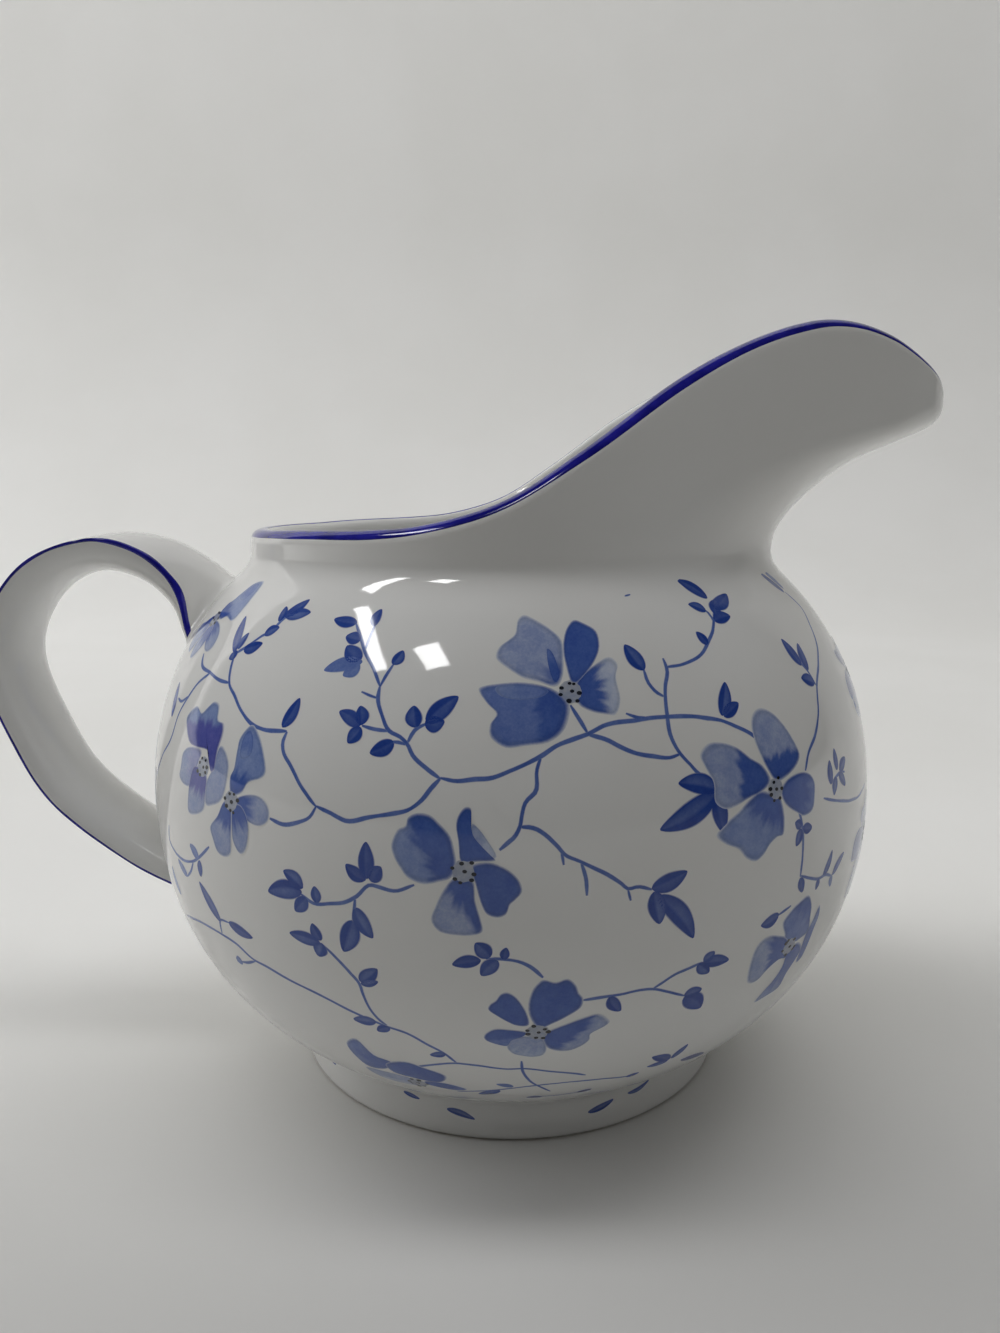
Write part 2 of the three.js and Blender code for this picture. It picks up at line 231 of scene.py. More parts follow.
class Shader:
    """A Principled material and short ways of adding nodes to it."""

    def __init__(self, name, roughness):
        self.material = bpy.data.materials.new(name)
        self.material.use_nodes = True
        self.tree = self.material.node_tree
        self.main = self.tree.nodes["Principled BSDF"]
        self.main.inputs["Roughness"].default_value = roughness
        self.main.inputs["IOR"].default_value = IOR
        coordinates = self.tree.nodes.new("ShaderNodeTexCoord")
        self.place = coordinates.outputs["Object"]

    def add(self, kind, links=(), **values):
        """A node of that kind, with its inputs set or linked by name and its properties set."""
        node = self.tree.nodes.new("ShaderNode" + kind)
        for key, value in values.items():
            setattr(node, key, value)
        for key, value in dict(links).items():
            if isinstance(value, bpy.types.NodeSocket):
                self.tree.links.new(value, node.inputs[key])
            else:
                node.inputs[key].default_value = value
        return node

    def noise(self, scale, detail=2.0, roughness=0.5):
        links = {"Vector": self.place, "Scale": scale, "Detail": detail, "Roughness": roughness}
        return self.add("TexNoise", links).outputs["Fac"]

    def ramp(self, fac, low, high, low_colour=(0, 0, 0), high_colour=(1, 1, 1)):
        """A smooth change from one colour to another as fac goes from low to high."""
        node = self.add("ValToRGB", {"Fac": fac})
        node.color_ramp.interpolation = "EASE"
        stops = ((low, low_colour), (high, high_colour))
        for element, (place, colour) in zip(node.color_ramp.elements, stops):
            element.position = place
            element.color = (*colour, 1)
        return node.outputs["Color"]

    def mix(self, fac, first, second, blend="MIX"):
        """Two colours mixed or blended. The Mix node's colour inputs are its sockets 6 and 7."""
        node = self.add("Mix", data_type="RGBA", blend_type=blend)
        for key, value in ((0, fac), (6, first), (7, second)):
            if isinstance(value, bpy.types.NodeSocket):
                self.tree.links.new(value, node.inputs[key])
            elif key == 0:
                node.inputs[key].default_value = value
            else:
                node.inputs[key].default_value = (*value, 1)
        return node.outputs[2]

    def colour(self, socket):
        self.tree.links.new(socket, self.main.inputs["Base Color"])

    def glaze_relief(self):
        """The glaze's long soft waviness and its finest orange peel."""
        wave = self.add("Bump", {"Height": self.noise(85, 1.0), "Strength": 0.35, "Distance": 0.00006})
        peel = self.add("Bump", {
            "Height": self.noise(1400, 2.0), "Strength": 0.25, "Distance": 0.000006,
            "Normal": wave.outputs["Normal"],
        })
        self.tree.links.new(peel.outputs["Normal"], self.main.inputs["Normal"])


def porcelain_material():
    """White glazed body: faint warm and cool drifts, and rare pinprick specks from the firing."""
    shader = Shader("porcelain", roughness=0.05)
    body = shader.ramp(shader.noise(38, 3.0), 0.3, 0.7, (0.79, 0.785, 0.765), (0.815, 0.815, 0.80))
    cells = shader.add("TexVoronoi", {"Vector": shader.place, "Scale": 260.0})
    near = shader.ramp(cells.outputs["Distance"], 0.03, 0.06, (1, 1, 1), (0, 0, 0))
    chosen = shader.ramp(cells.outputs["Color"], 0.90, 0.93)
    speck = shader.mix(1.0, near, chosen, "MULTIPLY")
    shader.colour(shader.mix(speck, body, (0.45, 0.42, 0.38)))
    shader.glaze_relief()
    return shader.material


def bisque_material():
    """Bare fired edge that the jug stands on: matt, fine-grained, in a mottled brown."""
    shader = Shader("bare_bisque", roughness=0.75)
    # A mottled brownish colour over the whole bare edge, darker than the glaze.
    brown_mottle = shader.noise(420, 4.0, 0.65)
    shader.colour(shader.ramp(brown_mottle, 0.35, 0.7, (0.50, 0.40, 0.30), (0.70, 0.64, 0.56)))
    grain = shader.add("Bump", {"Height": shader.noise(5200, 3.0), "Strength": 0.6, "Distance": 0.00003})
    shader.tree.links.new(grain.outputs["Normal"], shader.main.inputs["Normal"])
    return shader.material


def cobalt_material():
    """Banded cobalt under gloss: denser and thinner stretches along the brush."""
    shader = Shader("cobalt_band", roughness=0.08)
    brush = shader.noise(330, 3.0, 0.6)
    ink = shader.ramp(brush, 0.3, 0.75, (0.006, 0.006, 0.20), (0.022, 0.020, 0.36))
    tint = shader.add("VertexColor", layer_name="tone").outputs["Color"]
    shader.colour(shader.mix(1.0, ink, tint, "ADD"))
    shader.glaze_relief()
    return shader.material


def print_material():
    """Printed blue washes: each vertex carries its tone, and the pigment is grainy and pooled."""
    shader = Shader("blue_print", roughness=0.06)
    tone = shader.add("VertexColor", layer_name="tone").outputs["Color"]
    red = shader.add("SeparateColor", {"Color": tone}).outputs["Red"]
    inked = shader.add("MapRange", {"Value": red, "From Min": 0.74, "From Max": 0.40})
    pigment = inked.outputs["Result"]
    pools = shader.noise(620, 4.0, 0.65)
    pooling = shader.ramp(pools, 0.28, 0.72, (0.74, 0.80, 0.92), (1.08, 1.06, 1.02))
    grains = shader.noise(3800, 2.0, 0.7)
    grain = shader.ramp(grains, 0.3, 0.7, (0.86, 0.90, 0.96), (1.05, 1.04, 1.02))
    washed = shader.mix(pigment, tone, shader.mix(1.0, tone, pooling, "MULTIPLY"))
    shader.colour(shader.mix(pigment, washed, shader.mix(1.0, washed, grain, "MULTIPLY")))
    shader.glaze_relief()
    return shader.material


PORCELAIN = porcelain_material()
BISQUE = bisque_material()
COBALT = cobalt_material()
PRINT = print_material()

# ---- Bowl ---------------------------------------------------------------------------------------

COLUMN_COUNT = 288
SPOUT_CROWDING = 0.45
LIP_STEPS = 14
GLOBE_ROWS = 58
SPOUT_ROWS = 34

# The foot ring's section from under the base out to the crease, and the floor inside: (r, z).
BASE_SECTION = [
    (6, 2.69), (12, 2.62), (17, 2.52), (20.5, 2.42), (22.4, 2.32), (23.2, 2.12), (23.7, 1.72),
    (24.05, 1.2), (24.4, 0.66), (24.72, 0.27), (25.02, 0.06), (25.4, 0.0), (26.3, 0.0),
    (26.68, 0.06), (26.96, 0.22), (27.12, 0.45), (27.17, 0.8), (27.1, 1.4), (26.97, 2.1),
    (26.8, 2.8), (26.62, 3.4), (26.5, 3.85), (26.46, 4.1), (26.52, 4.3), (26.72, 4.52), (27.0, 4.74),
]
BASE_POLE_Z = 2.7
GLOBE_START_Z = 5.0
FLOOR_SECTION = [(27.9, 8.5), (25.6, 7.1), (22.6, 6.25), (18.5, 5.65), (13, 5.34), (7, 5.23)]
FLOOR_POLE_Z = 5.2
INNER_START_Z = 8.0
BEARING_TOP_Z = 0.3

# The bowl's columns, closer together round the spout.
column_share = np.arange(COLUMN_COUNT) / COLUMN_COUNT * 2 - 1
COLUMNS = math.pi * ((1 - SPOUT_CROWDING) * column_share + SPOUT_CROWDING * column_share ** 3)


def globe_rows(start, end, count):
    """Heights between start and end, closer together where the globe turns under."""
    lowest_turn = math.asin((start - GLOBE_MID_Z) / GLOBE_LOWER[0])
    highest_turn = math.asin((end - GLOBE_MID_Z) / GLOBE_UPPER[0])
    turns = np.linspace(lowest_turn, highest_turn, count)
    return GLOBE_MID_Z + np.sin(turns) * np.where(turns < 0, GLOBE_LOWER[0], GLOBE_UPPER[0])


def make_bowl():
    """One closed skin: foot ring, outside wall, lip, inside wall and floor."""
    lip_z, lip_centre, lip_normal, lip_up = lip_frame(COLUMNS)
    rise = 1 - (1 - np.arange(1, SPOUT_ROWS + 1) / SPOUT_ROWS) ** 1.5

    def wall_heights(start):
        level = np.repeat(globe_rows(start, NECK_ROOT_Z, GLOBE_ROWS)[:, None], COLUMN_COUNT, axis=1)
        spout = NECK_ROOT_Z + (lip_z - NECK_ROOT_Z) * rise[:, None]
        return np.concatenate([level, spout])

    def wall(start, inset):
        z = wall_heights(start)
        return outside_point(COLUMNS, z) - inset * outside_frame(COLUMNS, z)[1]

    turns = np.radians(180 * np.arange(1, LIP_STEPS) / LIP_STEPS)[:, None, None]
    lip = lip_centre + LIP_RADIUS * (lip_normal * np.cos(turns) + lip_up * np.sin(turns))
    section = np.array(BASE_SECTION)[:, :, None]
    base = polar(section[:, 0], COLUMNS, section[:, 1])
    section = np.array(FLOOR_SECTION)[:, :, None]
    floor = polar(section[:, 0], COLUMNS, section[:, 1])
    rings = np.concatenate([base, wall(GLOBE_START_Z, 0), lip, wall(INNER_START_Z, WALL)[::-1], floor])
    points, faces = skin_rings(rings, (0, 0, BASE_POLE_Z), (0, 0, FLOOR_POLE_Z))
    bowl = make_piece("jug_bowl", points, faces, ["bowl"], [PORCELAIN, BISQUE])
    for face in bowl.data.polygons:
        corner_z = max(bowl.data.vertices[v].co.z for v in face.vertices) / MM
        bare = corner_z < BEARING_TOP_Z
        face.material_index = 1 if bare else 0


make_bowl()

# ---- Handle, with its slip fillets --------------------------------------------------------------

RAIL_SAMPLES = 600
RAIL_SMOOTHING = 9
CORNER_ROUNDING = 0.45
FILLET = {"upper": 1.5, "lower": 1.3}
ROOT_SINK = 0.06
CROWN_POINTS = 27
PALM_POINTS = 47
STRAP_SAMPLES = 1200
STRAP_ROWS = 150
FILLET_ROWS = 9


def rail(rows):
    """Even samples along a smooth curve through the rail's points, with small kinks eased out."""
    rows = np.array(rows, float)
    place = np.linspace(0, len(rows) - 1, RAIL_SAMPLES)
    i = np.minimum(place.astype(int), len(rows) - 2)
    t = (place - i)[:, None]
    p0, p1 = rows[np.maximum(i - 1, 0)], rows[i]
    p2, p3 = rows[i + 1], rows[np.minimum(i + 2, len(rows) - 1)]
    curve = cubic(t, p1, p2, (p2 - p0) / 2, (p3 - p1) / 2)
    window = np.hanning(2 * RAIL_SMOOTHING + 3)[1:-1]
    window /= window.sum()
    start = 2 * curve[0] - curve[1:RAIL_SMOOTHING + 1][::-1]
    end = 2 * curve[-1] - curve[-RAIL_SMOOTHING - 1:-1][::-1]
    padded = np.concatenate([start, curve, end])
    return np.stack([np.convolve(padded[:, k], window, "valid") for k in (0, 1)], axis=-1)


RAILS = {"crest": rail(STRAP_CREST), "edge": rail(STRAP_EDGE), "palm": rail(STRAP_PALM)}


def on_rail(name, t):
    ts = np.linspace(0, 1, RAIL_SAMPLES)
    return np.stack([np.interp(t, ts, RAILS[name][:, k]) for k in (0, 1)], axis=-1)


def section_plan():
    """Steps round the strap's section: (across, share, on the palm side) from corner to corner.

    The outer face is a low crown. The palm side is a superellipse."""
    outer = np.sin(np.linspace(-math.pi / 2, math.pi / 2, CROWN_POINTS))
    plan = [(a, 1 - a * a, 0.0) for a in outer]
    for turn in np.linspace(0, math.pi, PALM_POINTS)[1:-1]:
        c, s = math.cos(turn), math.sin(turn)
        across = math.copysign(abs(c) ** (2 / PALM_ROUNDNESS), c)
        plan.append((across, s ** (2 / PALM_ROUNDNESS), 1.0))
    return np.array(plan)


SECTION = section_plan()
CORNERS = (0, CROWN_POINTS - 1)


def strap_sections(t):
    """Rings of points round the strap at each t, shaped (len(t), section points, 3)."""
    t = np.atleast_1d(t)
    crest, edge, palm = (on_rail(name, t)[:, None, :] for name in ("crest", "edge", "palm"))
    width = through_points(STRAP_HALF_WIDTH, t)[:, None]
    across, share, inner = SECTION.T
    towards = np.where(inner[:, None] > 0, palm, crest)
    flat = edge + (towards - edge) * share[:, None]
    ring = np.stack([flat[..., 0], width * across, flat[..., 1]], axis=-1)
    for corner in CORNERS:
        around = (ring[:, corner - 1] + ring[:, (corner + 1) % ring.shape[1]]) / 2
        ring[:, corner] += (around - ring[:, corner]) * CORNER_ROUNDING
    return ring


def over_bowl(points):
    """How far points stand outside the round bowl and neck, roughly."""
    return np.hypot(points[..., 0], points[..., 1]) - round_radius(points[..., 2])


def round_normal(points):
    """Outward normal of the round bowl and neck beside each point."""
    z = points[..., 2]
    slope = (round_radius(z + 0.05) - round_radius(z - 0.05)) / 0.1
    radial = np.hypot(points[..., 0], points[..., 1])
    flat = points[..., :2] / radial[..., None]
    return unit(np.concatenate([flat, -slope[..., None]], axis=-1))


def onto_bowl(points):
    """The points moved level onto the round bowl and neck."""
    radial = np.hypot(points[..., 0], points[..., 1])
    share = round_radius(points[..., 2]) / radial
    return np.concatenate([points[..., :2] * share[..., None], points[..., 2:]], axis=-1)


def strap_columns():
    """Each column of the strap, from where it leaves the bowl to where it meets it again."""
    dense = strap_sections(np.linspace(0, 1, STRAP_SAMPLES))
    outside = over_bowl(dense) > 0
    first = np.argmax(outside, axis=0)
    last = STRAP_SAMPLES - 1 - np.argmax(outside[::-1], axis=0)
    return dense, first, last


def make_handle():
    """The strap with a slip fillet at each root. Gives its rings, for the lines on its corners."""
    dense, first, last = strap_columns()
    count = dense.shape[1]
    columns = []
    for k in range(count):
        line = dense[first[k]:last[k] + 1, k]
        steps = np.linalg.norm(np.diff(line, axis=0), axis=1)
        run = np.concatenate([[0], np.cumsum(steps)])
        rows = np.linspace(FILLET["upper"], run[-1] - FILLET["lower"], STRAP_ROWS)
        body = np.stack([np.interp(rows, run, line[:, axis]) for axis in range(3)], axis=-1)
        columns.append((line[0], body, line[-1]))
    body = np.stack([c[1] for c in columns], axis=1)
    top = fillet(body[0], np.array([c[0] for c in columns]), FILLET["upper"])
    bottom = fillet(body[-1], np.array([c[2] for c in columns]), FILLET["lower"])
    rings = np.concatenate([top[::-1], body, bottom])
    points, faces = skin_rings(rings, pole_of(rings[0]), pole_of(rings[-1]))
    replaced = ["handle", "upper_slip_joint", "lower_slip_joint"]
    make_piece("jug_handle", points, faces, replaced, [PORCELAIN])
    return rings


def pole_of(ring):
    """A point just under the glaze in the middle of a root."""
    middle = onto_bowl(ring.mean(axis=0)[None])[0]
    return middle - 1.0 * round_normal(middle[None])[0]


def fillet(last_ring, contact, radius):
    """Rings that carry the strap's last ring round a hollow curve onto the bowl."""
    middle = contact.mean(axis=0)
    normal = round_normal(contact)
    away = contact - middle
    away -= (away * normal).sum(axis=-1, keepdims=True) * normal
    landing = onto_bowl(contact + radius * unit(away)) - ROOT_SINK * normal
    rings = []
    for share in np.linspace(0, 1, FILLET_ROWS + 1)[1:]:
        start = (1 - share) ** 2 * last_ring
        rings.append(start + 2 * share * (1 - share) * contact + share ** 2 * landing)
    return np.array(rings)


HANDLE_RINGS = make_handle()

# ---- Cobalt lines -------------------------------------------------------------------------------

# The rim band's edges are degrees over the lip, from level outwards. Sinks and lifts are
# measured from the glaze.
RIM_BAND = {"from": 24, "to": 108, "steps": 16, "sink": 0.05}
RIM_FADE_START = 0.8
RIM_FADE_TONE = (0.05, 0.06, 0.16)
HANDLE_BAND_WIDTH = [(0, 1.0), (0.06, 1.5), (0.16, 1.1), (0.3, 0.75), (0.55, 0.65), (1, 0.7)]
HANDLE_BAND_POINTS = 9
HANDLE_BAND_SINK = 0.06
HANDLE_BAND_SHIFT = 0.15
HANDLE_BAND_ROOT_ROWS = 4
BAND_LIFT = 0.03


def ring_slab(top, bottom):
    """Faces of a thin closed band between two equal grids whose first axis runs round and closes."""
    count, across = top.shape[:2]
    points = np.concatenate([top, bottom[:, ::-1]], axis=1)
    size = 2 * across
    at = np.arange(count * size).reshape(count, size)
    after, beside = np.roll(at, -1, axis=0), np.roll(at, -1, axis=1)
    quads = np.stack([at, after, np.roll(after, -1, axis=1), beside], axis=-1)
    return points.reshape(-1, 3), quads.reshape(-1, 4).tolist()


def add_tone(piece, tone):
    """Stores a colour for each vertex, which the material reads as "tone"."""
    layer = piece.data.color_attributes.new("tone", "FLOAT_COLOR", "POINT")
    rgba = np.ones((len(piece.data.vertices), 4))
    rgba[:, :3] = tone
    layer.data.foreach_set("color", rgba.astype(np.float32).ravel())


def make_rim_line():
    """The band over the lip: dense on the outer shoulder, thinner over the crest."""
    centre, normal, up = (v[:, None, :] for v in lip_frame(COLUMNS)[1:])
    share = np.linspace(0, 1, RIM_BAND["steps"] + 1)
    waver = 1.6 * np.sin(COLUMNS * 7 + 0.6) + 1.1 * np.sin(COLUMNS * 17 + 2.0)
    span = RIM_BAND["to"] - RIM_BAND["from"]
    degrees = RIM_BAND["from"] + waver[:, None] * (1 - share) + span * share
    turn = np.radians(degrees)[..., None]
    way = normal * np.cos(turn) + up * np.sin(turn)
    edge = np.minimum(share, 1 - share)
    lift = BAND_LIFT * np.clip(edge / 0.12, 0, 1)[:, None]
    top = centre + way * (LIP_RADIUS + lift)
    points, faces = ring_slab(top, centre + way * (LIP_RADIUS - RIM_BAND["sink"]))
    piece = make_piece("rim_cobalt_line", points, faces, ["rim_line"], [COBALT])
    fade = np.clip((share - RIM_FADE_START) / (1 - RIM_FADE_START), 0, 1) ** 2
    tone = fade[:, None] * np.array(RIM_FADE_TONE)
    both = np.concatenate([tone, tone[::-1]])
    add_tone(piece, np.tile(both, (len(COLUMNS), 1)))


def corner_band(ring, shift, corner, width):
    """A row of points along the strap's surface, set a little to one side of its corner."""
    around = np.roll(ring, len(ring) // 2 - corner, axis=0)
    middle = len(ring) // 2
    steps = np.linalg.norm(np.diff(around, axis=0), axis=1)
    run = np.concatenate([[0], np.cumsum(steps)])
    spread = width * np.linspace(-0.5, 0.5, HANDLE_BAND_POINTS)
    reach = spread + run[middle] + shift * HANDLE_BAND_SHIFT * width
    return np.stack([np.interp(reach, run, around[:, axis]) for axis in range(3)], axis=-1)


def make_handle_line(name, corner, shift, replaced):
    """A painted band that hugs one corner of the strap and runs a little way into its fillets."""
    skipped = FILLET_ROWS - HANDLE_BAND_ROOT_ROWS
    rings = HANDLE_RINGS[skipped:-skipped]
    share = np.linspace(0, 1, len(rings))
    width = through_points(HANDLE_BAND_WIDTH, share)
    width = width * (1 + 0.10 * np.sin(share * 41) + 0.07 * np.sin(share * 97 + 1))
    rows = np.array([corner_band(r, shift, corner, w) for r, w in zip(rings, width)])
    along = np.gradient(rows, axis=0)
    across = np.gradient(rows, axis=1)
    normal = unit(np.cross(along, across))
    centre = rings.mean(axis=1)[:, None, :]
    normal *= np.sign(((rows - centre) * normal).sum(axis=-1, keepdims=True))
    place = np.arange(HANDLE_BAND_POINTS)
    edge = np.minimum(place, place[::-1])
    lift = np.clip(edge, 0, 1)[None, :, None] * BAND_LIFT
    top = rows + lift * normal
    bottom = rows - HANDLE_BAND_SINK * normal
    loops = np.concatenate([top, bottom[:, ::-1]], axis=1)
    points, faces = skin_rings(loops, loops[0].mean(axis=0), loops[-1].mean(axis=0))
    piece = make_piece(name, points, faces, [replaced], [COBALT])
    add_tone(piece, (0.0, 0.0, 0.0))


make_rim_line()
make_handle_line("handle_cobalt_line_front", CORNERS[0], 1, "handle_line_front")
make_handle_line("handle_cobalt_line_back", CORNERS[1], -1, "handle_line_back")

# ---- The print: a sprig pattern drawn on the glaze ----------------------------------------------

# Washes of the print's blue, from the strongest to the faintest, and the colour of the stamens.
TONES = {
    "deep": (0.026, 0.070, 0.330),
    "blue": (0.070, 0.132, 0.420),
    "mid": (0.150, 0.220, 0.500),
    "soft": (0.230, 0.305, 0.550),
    "pale": (0.345, 0.400, 0.590),
    "faint": (0.520, 0.570, 0.700),
    "leaf": (0.042, 0.088, 0.350),
    "plum": (0.105, 0.115, 0.400),
    "lilac": (0.300, 0.320, 0.560),
    "stamen": (0.018, 0.020, 0.028),
    "heart": (0.420, 0.440, 0.500),
}
WHITE = np.array((0.80, 0.80, 0.785))

# Every sprig is set out on one side of the jug, and the far side repeats it half a turn round.
# Stems: width, then (angle, height) points.
STEMS = [
    (0.62, [(-147.5, 53.8), (-146.3, 53), (-141.5, 52.4), (-137.5, 52), (-135, 52)]),
    (0.45, [(-141.5, 52.4), (-144.4, 51), (-146, 49.5), (-148, 47.2), (-148.6, 45), (-152, 42.5),
            (-157, 39)]),
    (0.40, [(-146, 49.5), (-148.6, 48.7), (-150.5, 48.8)]),
    (0.68, [(-137, 54.6), (-136.2, 53.2), (-135, 52), (-132.6, 51), (-130, 49.8), (-128, 49.1),
            (-125.2, 48.6), (-122.8, 48.7), (-120.7, 48.8)]),
    (0.60, [(-137, 54.6), (-134.6, 55.6), (-132.5, 56.6), (-130.5, 57.3), (-130, 58), (-128.6, 59)]),
    (0.72, [(-120.7, 48.8), (-121, 47.8), (-120.6, 47), (-119.1, 45.9), (-118.2, 45.2), (-117.3, 44.4),
            (-115.7, 43.3), (-114.6, 42.7)]),
    (0.66, [(-114.6, 42.7), (-115.4, 41.7), (-117, 41), (-119.2, 40.5), (-121.6, 40.8)]),
    (0.74, [(-114.6, 42.7), (-112.8, 42.3), (-110, 41.8), (-107.4, 42.3), (-104.6, 42.8),
            (-102.4, 43.3), (-101.1, 44.1), (-100, 45.2), (-98.9, 46.1)]),
    (0.74, [(-98.9, 46.1), (-97.1, 45.9), (-94.7, 46.1), (-93, 46.2), (-90.6, 46.8), (-88.8, 47.4),
            (-86.8, 48.1), (-85, 48.9), (-83, 49.4), (-81, 49.8), (-78.7, 50.4), (-75.2, 50.7),
            (-70.1, 50.8), (-65.4, 50.5), (-62.4, 50), (-60, 49.3), (-57.5, 48.3), (-56.2, 47.5)]),
    (0.60, [(-75.8, 51.3), (-74.3, 50.9), (-72.5, 50.8)]),
    (0.70, [(-81, 49.8), (-78.5, 49.2), (-77, 48.6), (-75.5, 48.1), (-72.9, 47.6), (-70.7, 47.4),
            (-69.1, 47.6)]),
    (0.66, [(-82.9, 52.2), (-81.9, 50.9), (-81, 49.8)]),
    (0.70, [(-98.9, 46.1), (-101, 47), (-102.5, 47.9), (-103.3, 48.8), (-104.2, 49.3), (-105.9, 49.8),
            (-107.1, 51.1), (-108, 52.4), (-108.1, 53.4)]),
    (0.52, [(-103.3, 48.8), (-102.4, 50), (-101, 50.6)]),
    (0.50, [(-103.3, 48.7), (-104.5, 48.9), (-105.6, 48.9)]),
    (0.46, [(-105.9, 49.8), (-108, 49.9), (-109.6, 50.1)]),
    (0.40, [(-108, 52.4), (-109.2, 52.6), (-110.6, 52.9)]),
    (0.58, [(-108.1, 53.4), (-109.5, 54.8), (-111.7, 56.3), (-113.2, 57.5), (-114.8, 58.6)]),
    (0.58, [(-108.1, 53.4), (-107.5, 54.5), (-106.8, 55.4)]),
    (0.50, [(-111.7, 56.3), (-111.6, 57.4), (-111.5, 58.8)]),
    (0.66, [(-86.8, 48.1), (-87.4, 46.9), (-87.6, 45.2), (-88.8, 44.2), (-89.2, 43.2), (-89.5, 42.1),
            (-90.1, 41.2), (-91, 40.6), (-91.8, 40.1)]),
    (0.62, [(-89.5, 42.1), (-88, 42), (-86.5, 41.4), (-85.1, 40.4), (-84.2, 39.6), (-82.7, 39),
            (-81.2, 38.4), (-79.5, 37.7), (-77.7, 36.7), (-76.8, 36.1), (-75.6, 36.2), (-73.8, 35.8)]),
    (0.46, [(-84.7, 40), (-84.4, 38.7)]),
    (0.50, [(-82.4, 38.9), (-81.8, 37.3), (-81.7, 35.8)]),
    (0.44, [(-76.8, 36.1), (-76.4, 35)]),
    (0.62, [(-68.7, 55.7), (-68.6, 54.8), (-69.6, 53.3), (-70.2, 50.9), (-70.1, 49.2), (-69.3, 47.8),
            (-68.2, 46.7), (-66.7, 45.6), (-64.9, 45.1)]),
    (0.52, [(-69.9, 52.5), (-71, 52.9), (-71.9, 53.7), (-72.1, 54.9)]),
    (0.58, [(-68.6, 54.9), (-65.7, 55.1), (-62.2, 55.8), (-59.9, 56.9), (-58.3, 57.7), (-57.1, 58.5),
            (-56, 59.3), (-55.4, 60.2)]),
    (0.50, [(-57.3, 58.3), (-57.2, 59), (-57.8, 59.6)]),
    (0.50, [(-29.5, 60), (-27.5, 58.2), (-29.2, 56.8), (-31, 55.4), (-35.8, 53), (-39.7, 51.2),
            (-42.3, 48.6), (-44.6, 46.9), (-47.3, 45.4), (-48.5, 44)]),
    (0.46, [(-39.7, 51.2), (-40.6, 52.8), (-42, 53.9)]),
    (0.44, [(-44.7, 40.7), (-41, 39.8), (-36, 38.9), (-31.5, 38.5), (-26, 38.8)]),
    (0.42, [(-42.2, 41.8), (-40.6, 42.2), (-39, 42.4), (-37.4, 42.2)]),
    (0.58, [(-51, 41), (-50.2, 39.2), (-50, 38), (-49.9, 35.2), (-50.1, 33.6)]),
    (0.46, [(-50, 33.7), (-47.5, 32.9), (-45.5, 32.4), (-43.4, 32.4), (-41.4, 31.8)]),
    (0.44, [(-51.4, 30.8), (-54, 30.3)]),
    (0.56, [(-101.7, 36.6), (-104.2, 35.9), (-106.1, 36.1), (-107, 36.2), (-109, 34.9), (-110.5, 34.2),
            (-112.6, 33.8), (-114.9, 33.5), (-116.9, 34.2)]),
    (0.56, [(-109.2, 34.8), (-109.3, 33.7), (-109.6, 32.3)]),
    (0.42, [(-114, 29.3), (-112.4, 28.3), (-110.8, 26.9), (-109.6, 25.8), (-109.4, 24.7),
            (-108.7, 22.8), (-107.7, 21.6), (-106.9, 21.1)]),
    (0.46, [(-147.5, 24.8), (-142.4, 25.8), (-137.5, 26.3), (-133.6, 26.4), (-130.4, 26.1),
            (-127.6, 25.1), (-124.4, 24.7), (-120.5, 24), (-117.4, 23.5), (-114.5, 22.9), (-112, 22.2),
            (-109.6, 21.6), (-107, 21), (-104.2, 20.4), (-101.9, 19.3), (-99.5, 18.1), (-98.1, 16.8)]),
    (0.44, [(-133.6, 26.4), (-133.1, 28.2), (-131, 28.4)]),
    (0.40, [(-127, 24.9), (-129.4, 24.1), (-130.6, 23.9)]),
    (0.46, [(-147.3, 35.5), (-147.6, 33.9), (-145, 33), (-141.4, 32.9), (-138.2, 33.5), (-136.4, 34.3),
            (-133.6, 36)]),
    (0.40, [(-138.4, 33.4), (-139.4, 32.2), (-141, 31.2)]),
    (0.46, [(-105.3, 15), (-101.6, 16), (-98.1, 16.7), (-95, 16.5), (-91, 16.1), (-88.3, 16.1),
            (-85.2, 15.6), (-82, 15), (-79, 14.2)]),
    (0.44, [(-99.5, 10.6), (-95.4, 11.2), (-90.5, 12.1), (-87.4, 12.6), (-83.4, 13), (-79.8, 13),
            (-76.3, 12.9), (-73.5, 12.6), (-70.6, 12.3)]),
    (0.42, [(-88.9, 17.4), (-88.6, 15.6), (-87.4, 13.7), (-85.6, 12.3), (-83.8, 11)]),
    (0.40, [(-85, 9.5), (-81.5, 9.6), (-78.5, 10)]),
    (0.56, [(-86.6, 27.9), (-87.8, 28.8), (-89.3, 29.5), (-90.9, 29.8), (-92.2, 29.9), (-93.4, 29.8)]),
    (0.50, [(-81.7, 25.1), (-79.2, 25.3), (-76.7, 25.4), (-74.8, 25.6), (-72.6, 25.5), (-70.5, 24.9),
            (-67.6, 23.9)]),
    (0.48, [(-72.6, 25.5), (-71.2, 26.1), (-69.6, 26.8), (-67.6, 27.2), (-66, 27.5)]),
    (0.26, [(-71.6, 61.1), (-70.4, 61.2)]),
]

